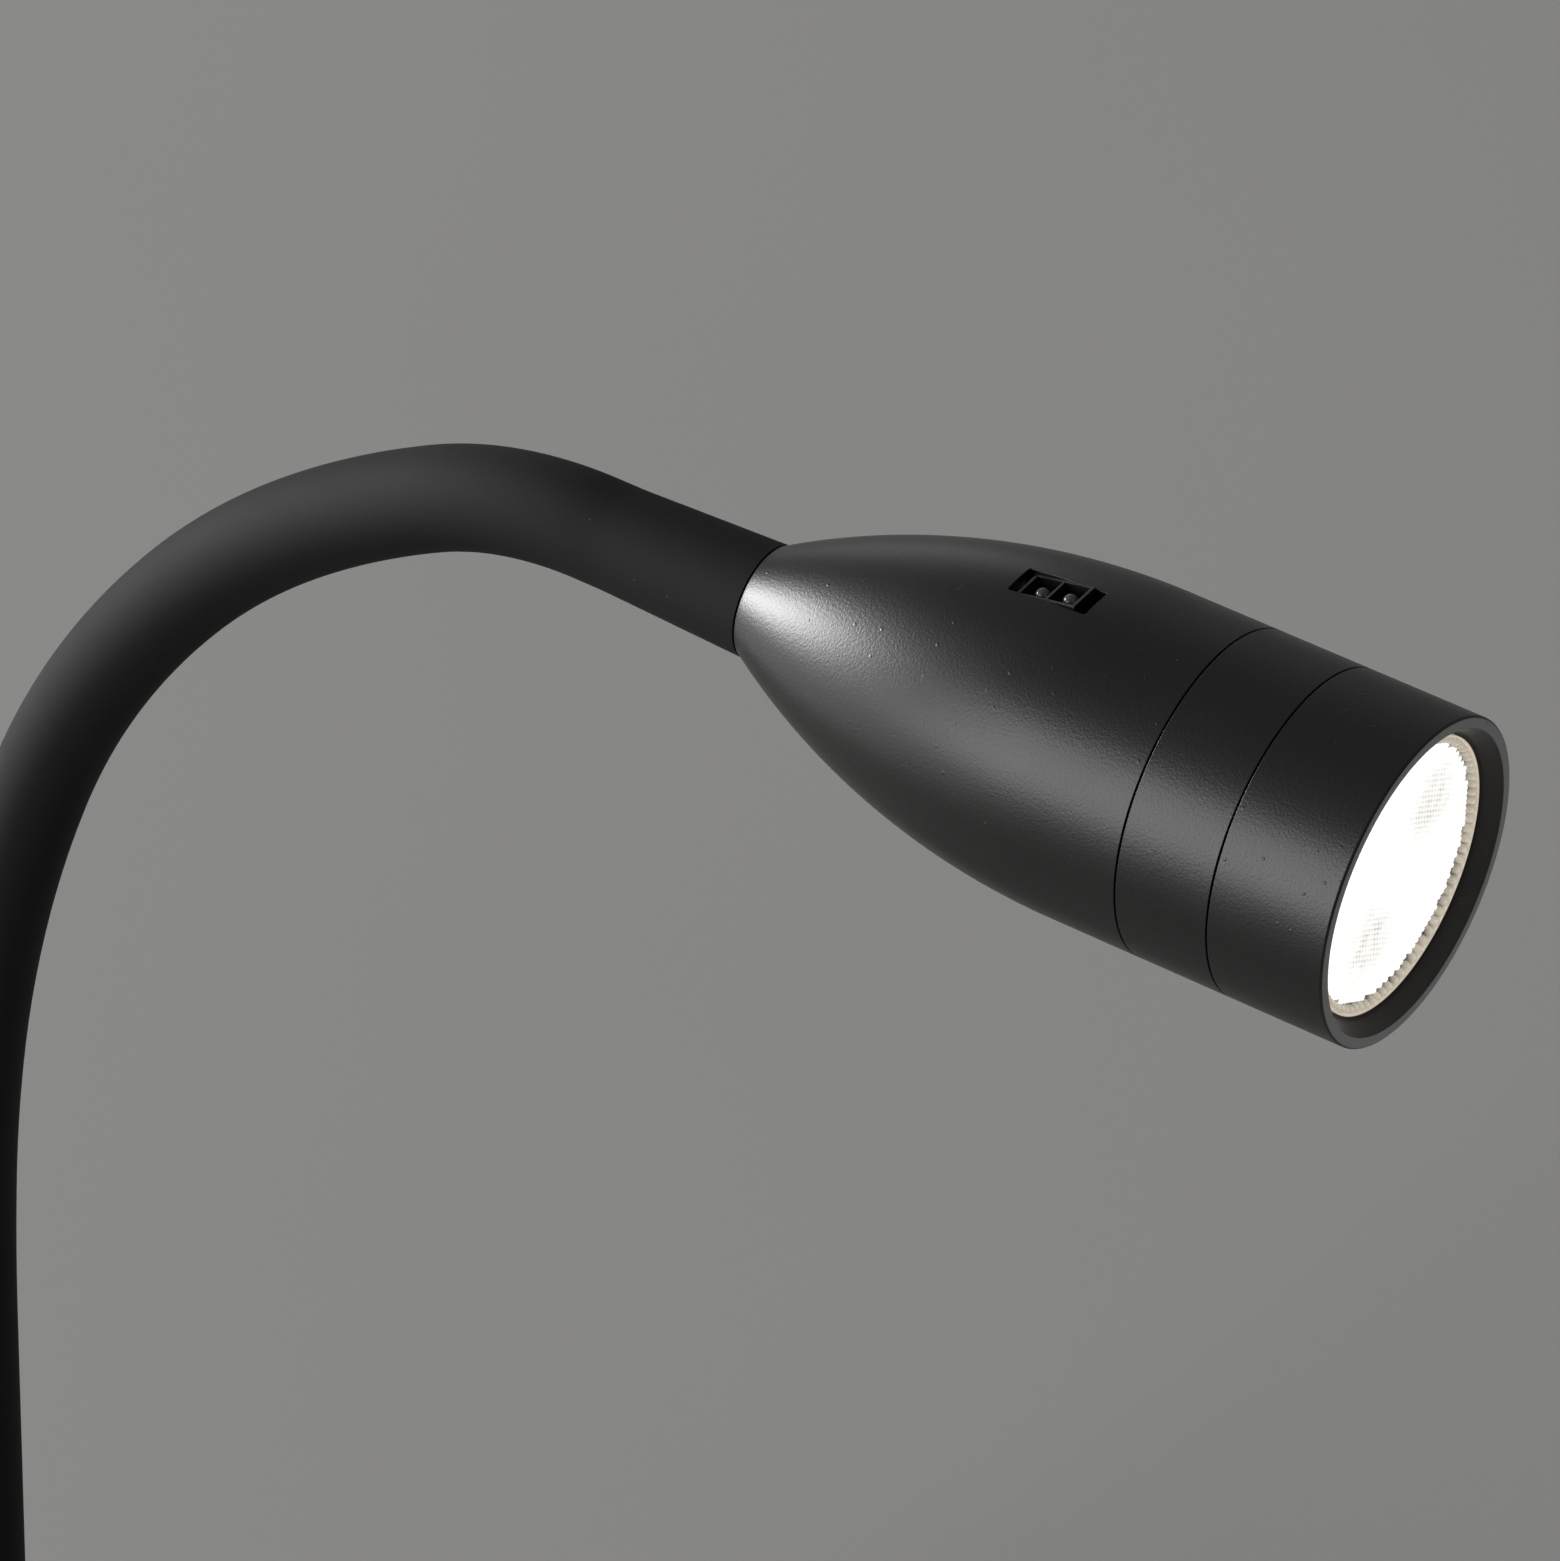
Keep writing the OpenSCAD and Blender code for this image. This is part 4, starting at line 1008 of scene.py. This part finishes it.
def neck_lengths(name, finish, stands_for, radius, bore, flare, first_run, last_run, rings, sides):
    """Tube lengths over every flexing point, each bent as the two links that it joins are."""
    last = len(flex_points) - 1
    for k, tilt in enumerate(flex_tilts):
        piece = grown(
            f"{name}_{k + 1:02d}", bent_tube, Finish=finish, Radius=radius, Bore=bore,
            Before=first_run if k == 0 else link_len / 2, After=last_run if k == last else link_len / 2,
            Bend_Before=curls[k], Bend_After=curls[k + 1], Rings=rings, Sides=sides,
            Flare=flare if k == last else radius, Flare_From=FLARE_FROM,
        )
        piece.data.transform(Matrix.Translation(flex_points[k]) @ Matrix.Rotation(tilt, 4, "Y"))
        turn_outwards(piece)
        piece.data.shade_smooth()
        piece.data.set_sharp_from_angle(angle=SHARP)
        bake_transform(piece)
        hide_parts(*stands_for(k))
    print(name, "in", len(flex_points), "lengths,", len(piece.data.polygons), "faces in the last")


print("sleeve", round(2 * sleeve_r / MM, 2), "mm, links", round(link_len / MM, 2), "mm")

# %% Sleeve
SLEEVE_BORE = 7.2 * MM
neck_lengths(
    "neck_sleeve_length", silicone,
    lambda k: (f"neck_sleeve_{k:02d}", f"neck_sleeve_{k + 1:02d}"),
    radius=sleeve_r, bore=SLEEVE_BORE, flare=flare_r, first_run=flex_points[0].z - foot_low.z,
    last_run=flare_high.x - flex_points[-1].x, rings=32, sides=96,
)

# %% [markdown]
# ### Lead in the neck
# A thin lead runs through the gooseneck from the power supply to the sensor board. Inside the neck it has to
# bend with it, so it comes from the same rule. Its two ends, in the base and in the head, are cut from the
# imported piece.

# %% Lead
LEAD_R, LEAD_BORE = 1.5 * MM, 0.6 * MM
head_rear_x = mouth.x - head_len
neck_lengths(
    "neck_lead_length", inner_finishes["lead_jacket"], lambda k: ("neck_lead",),
    radius=LEAD_R, bore=LEAD_BORE, flare=LEAD_R, first_run=flex_points[0].z - collar_high.z,
    last_run=head_rear_x - flex_points[-1].x, rings=16, sides=16,
)
lead_ends = (
    ("lead_in_base", "base", (0, 0, collar_high.z), (0, 0, 1)),
    ("lead_in_head", "head", (head_rear_x, 0, 0), (-1, 0, 0)),
)
for name, body, at, away in lead_ends:
    bm = merged_copy("neck_lead")
    whole = bm.verts[:] + bm.edges[:] + bm.faces[:]
    cut = bmesh.ops.bisect_plane(bm, geom=whole, plane_co=at, plane_no=away, clear_outer=True)["geom_cut"]
    bmesh.ops.holes_fill(bm, edges=[edge for edge in cut if isinstance(edge, bmesh.types.BMEdge)])
    lead_end = new_piece(name, bm)
    smooth(lead_end)
    put(lead_end, body, "lead_jacket", inner_finishes["lead_jacket"], "neck_lead")

# %% [markdown]
# ## Wall base
# The photograph stops before the base, so this is the plain painted box such a lamp has. Its cover is a
# stack of rounded rectangles again: straight sides, then a quarter circle in to the flat front, and the same
# 2.5 mm further in for the inner wall. Holes for the neck and the two cover screws are cut afterwards.

# %% Base cover
COVER_WALL, COVER_R = 2.5 * MM, 10 * MM
COVER_STEPS, HOLE_TURNS = 12, 64
_, cover_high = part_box("base_cover")


def cover_rows(inset):
    """Loops of the cover from its back to its front, drawn in by a wall."""
    radius = COVER_R - inset
    half_w, half_h, depth = cover_high.y - inset, cover_high.z - inset, cover_high.x - inset
    steps = [(0.0, 0.0)] + [(depth - radius, math.pi / 2 * k / COVER_STEPS) for k in range(COVER_STEPS + 1)]
    rows = []
    for x, turn in steps:
        drawn_in = radius * (1 - math.cos(turn))
        loop = rounded_loop(half_w - drawn_in, half_h - drawn_in, radius - drawn_in, COVER_STEPS, 1)
        rows.append([(x + radius * math.sin(turn), y, z) for y, z in loop])
    return rows


cover = new_piece("base_cover_pressed", skin(cover_rows(COVER_WALL)[::-1] + cover_rows(0), caps=True))
neck_x = flex_points[0].x
STUD_HOLE_R = 5.25 * MM
stud_tool = circle_rows(
    [(STUD_HOLE_R, cover_high.z - 2 * COVER_WALL), (STUD_HOLE_R, cover_high.z + COVER_WALL)],
    Matrix.Translation((neck_x, 0, 0)), HOLE_TURNS,
)
combine(cover, new_piece("stud_tool", skin(stud_tool, caps=True)), "DIFFERENCE")

SCREW_X, SCREW_R, SINK_R = 10 * MM, 1.5 * MM, 3 * MM
HOLE_GAP = 0.1 * MM
for side in (-1, 1):
    outwards = Matrix.Rotation(-side * math.pi / 2, 4, "X")
    out_of_side = Matrix.Translation((SCREW_X, side * cover_high.y, 0)) @ outwards
    hole = [
        (SCREW_R + HOLE_GAP, -2 * COVER_WALL), (SCREW_R + HOLE_GAP, SCREW_R - SINK_R - HOLE_GAP),
        (SINK_R + HOLE_GAP, 0), (SINK_R + HOLE_GAP, COVER_WALL),
    ]
    screw_tool = skin(circle_rows(hole, out_of_side, HOLE_TURNS), caps=True)
    combine(cover, new_piece("screw_tool", screw_tool), "DIFFERENCE")
smooth(cover)
put(cover, "base", "black_paint", paint, "base_cover")

# %% [markdown]
# ### Collar
# A turned collar with a small chamfer stands where the neck leaves the base. The counterbore in its top
# takes the foot of the sleeve, so that no edge of silicone shows.

# %% Collar
collar_low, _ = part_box("neck_collar")
collar_r = collar_high.y
collar_h = collar_high.z - collar_low.z
COLLAR_BORE, COUNTERBORE_R, COUNTERBORE = 6.53 * MM, 8.45 * MM, 3 * MM
COLLAR_EDGE = 1.2 * MM
collar = turned("neck_collar_turned", eased([
    (COLLAR_BORE, 0, 0), (collar_r, 0, FINE),
    (collar_r, collar_h - COLLAR_EDGE, EDGE), (collar_r - COLLAR_EDGE, collar_h, EDGE),
    (COUNTERBORE_R, collar_h, FINE), (COUNTERBORE_R, collar_h - COUNTERBORE, 0),
    (COLLAR_BORE, collar_h - COUNTERBORE, 0),
]), Matrix.Translation((neck_x, 0, collar_low.z)), turns=128)
smooth(collar)
put(collar, "base", "black_paint", paint, "neck_collar")

# %% [markdown]
# ### Cover screws
# Two countersunk screws with a hexagon socket hold the cover, one on each side. One screw is modelled, and
# a small tree sets a copy at each end of a line across the base, turned to face outwards.

# %% Cover screws
SCREW_L, SCREW_TIP, SCREW_EDGE = 8 * MM, 0.3 * MM, 0.15 * MM
SOCKET_FLATS, SOCKET_DEPTH = 2 * MM, 1 * MM


def screw_rule():
    """A screw at each end of a line along Y, both facing outwards."""
    tree, size = new_rule("screw_pair", Screw=THING, Span=LENGTH, Finish=FINISH)
    ends = add(tree, "ShaderNodeCombineXYZ", {"Y": size["Span"]}).outputs[0]
    start = add(tree, "ShaderNodeVectorMath", {0: ends, "Scale": -0.5}, operation="SCALE").outputs[0]
    line = add(tree, "GeometryNodeMeshLine", {"Count": 2, "Start Location": start, "Offset": ends}).outputs[0]
    index = add(tree, "GeometryNodeInputIndex").outputs[0]
    turn = sum_of(tree, "MULTIPLY_ADD", index, -math.pi, math.pi / 2)
    rotation = add(tree, "ShaderNodeCombineXYZ", {"X": turn}).outputs[0]
    screw = add(tree, "GeometryNodeObjectInfo", {"Object": size["Screw"]}).outputs["Geometry"]
    inputs = {"Points": line, "Instance": screw, "Rotation": rotation}
    end_rule(tree, add(tree, "GeometryNodeInstanceOnPoints", inputs).outputs[0], size["Finish"])
    return tree


screw_outline = eased([
    (0, -SCREW_L, 0), (SCREW_R, -SCREW_L, SCREW_TIP), (SCREW_R, SCREW_R - SINK_R, 0),
    (SINK_R, 0, SCREW_EDGE), (0, 0, 0),
])
screw = turned("screw_pattern", screw_outline, Matrix.Identity(4), turns=48, loop=False)
hex_r = SOCKET_FLATS / math.sqrt(3)
hex_rows = circle_rows([(hex_r, -SOCKET_DEPTH), (hex_r, SOCKET_DEPTH)], Matrix.Identity(4), 6)
combine(screw, new_piece("socket_tool", skin(hex_rows, caps=True)), "DIFFERENCE")
smooth(screw)
screws = grown("cover_screw_pair", screw_rule(), Screw=screw, Span=2 * cover_high.y,
               Finish=inner_finishes["screws"])
screws.data.transform(Matrix.Translation((SCREW_X, 0, 0)))
bpy.data.objects.remove(screw)
put_grown(screws, "base", "screws", "cover_screws")

# %% [markdown]
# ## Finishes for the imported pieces
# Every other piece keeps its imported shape, since most of them are hidden and simple. Each gets the finish
# of its material slot.

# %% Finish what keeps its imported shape
dressed = 0
for part in record["subparts"]:
    packed = cad[part["node"]]
    if packed.hide_render:
        continue
    packed.data.materials.clear()
    packed.data.materials.append(inner_finishes[part["material_slot"]])
    dressed += 1
print(dressed, "packed pieces dressed")

# %% [markdown]
# ## Floor and light
# A plain pale floor lies under the lamp, matte, so that it mirrors nothing. The light is a studio's: a
# strong key box low behind the neck, which makes the bright spot on the nose, a wide box to the left of the
# camera, which draws the soft band along the head, a long low card beside it and a dim box behind. Two cards
# on the floor lighten the undersides, and a dim even sky fills the rest. The lamp's own light leaves two
# discs in its mouth: a beam, and a faint spill on the cone round the lens. They ride on the head. The level
# of a box is the share of a white card's brightness at the head, and its power follows from the distance.

# %% Floor
def pale_floor():
    """Matte paper with faint clouds."""
    material, tree, shader, where = new_finish("pale_floor")
    cloud = noise(tree, where, 3.0)
    dress(tree, shader, Base_Color=mix(tree, cloud, (0.316, 0.313, 0.306), (0.335, 0.332, 0.325)))
    dress(tree, shader, Roughness=stretch(tree, cloud, 0.85, 0.95), Specular_IOR_Level=0.0)
    return material


FLOOR_HALF = 15.0
floor_z = cad_box[0][2]
floor_bm = bmesh.new()
floor_corners = [(a * FLOOR_HALF, b * FLOOR_HALF, floor_z) for a, b in ((-1, -1), (1, -1), (1, 1), (-1, 1))]
floor_bm.faces.new([floor_bm.verts.new(corner) for corner in floor_corners])
floor = new_piece("floor", floor_bm)
floor.data.materials.append(pale_floor())
print("floor at", round(floor_z, 4))

# %% Helpers for lights
lit_point = mouth - Vector((head_len / 2, 0, 0))
CARD_LIFT = 5 * MM
LAMP_WHITE = (1.0, 0.95, 0.86)


def facing(direction):
    """The turn of a light whose back points in a direction."""
    return Vector(direction).to_track_quat("Z", "Y").to_matrix().to_4x4()


def area_light(name, shape, size, watts, place):
    """A flat light of that size, which the camera doesn't see."""
    light = bpy.data.lights.new(name, "AREA")
    light.shape = shape
    light.size, light.size_y = size
    light.energy = watts
    lamp = bpy.data.objects.new(name, light)
    lamp.matrix_world = place
    lamp.visible_camera = False
    scene.collection.objects.link(lamp)
    return lamp


def soft_box(name, towards, distance, size, brightness):
    """A soft box in a direction from the head, with the brightness that a white card would have there."""
    direction = Vector(towards).normalized()
    place = Matrix.Translation(lit_point + distance * direction) @ facing(direction)
    area_light(name, "RECTANGLE", size, brightness * math.pi**2 * distance**2, place)


def floor_card(name, low, high, radiance):
    """A card lying on the floor between two corners, that throws an even light up."""
    size = high[0] - low[0], high[1] - low[1]
    middle = Vector(((low[0] + high[0]) / 2, (low[1] + high[1]) / 2, floor_z + CARD_LIFT))
    place = Matrix.Translation(middle) @ Matrix.Rotation(math.pi, 4, "X")
    area_light(name, "RECTANGLE", size, radiance * math.pi * size[0] * size[1], place)


def lens_light(name, depth, radius, watts, spread):
    """Light that leaves a disc in the mouth, facing out of the head."""
    place = Matrix.Translation(mouth - Vector((depth, 0, 0))) @ facing((-1, 0, 0))
    lamp = area_light(name, "DISK", (2 * radius, 2 * radius), watts, place)
    lamp.data.spread = math.radians(spread)
    lamp.data.color = LAMP_WHITE
    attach(lamp, "head")


print("lights aim at", tuple(round(c, 3) for c in lit_point))

# %% Lights
soft_box("key_box", towards=(-0.98, -0.15, 0.13), distance=6.0, size=(2.3, 2.3), brightness=1.45)
soft_box("wide_box", towards=(-0.40, -0.81, 0.27), distance=6.0, size=(3.0, 4.2), brightness=0.68)
soft_box("low_card", towards=(-0.80, -0.60, 0.0), distance=2.2, size=(4.4, 0.8), brightness=0.34)
soft_box("back_box", towards=(-0.68, 0.70, 0.16), distance=6.0, size=(2.3, 1.6), brightness=0.035)
floor_card("left_card", low=(-1.6, -1.3), high=(-0.45, 0.3), radiance=1.0)
floor_card("right_card", low=(0.40, 0.25), high=(0.90, 0.75), radiance=0.7)
lens_light("lamp_beam", depth=0.0, radius=0.8 * lens_hole_r, watts=4.0, spread=130)
lens_light("lens_spill", depth=3.2 * MM, radius=19.5 * MM, watts=0.010, spread=180)

# %% Sky
SKY_LEVEL = 0.215
world = bpy.data.worlds.new("even_sky")
world.use_nodes = True
sky = world.node_tree.nodes["Background"]
sky.inputs["Color"].default_value = (1.0, 1.0, 1.0, 1.0)
sky.inputs["Strength"].default_value = SKY_LEVEL
scene.world = world
scene.view_settings.view_transform = "Standard"
print("sky at", SKY_LEVEL)
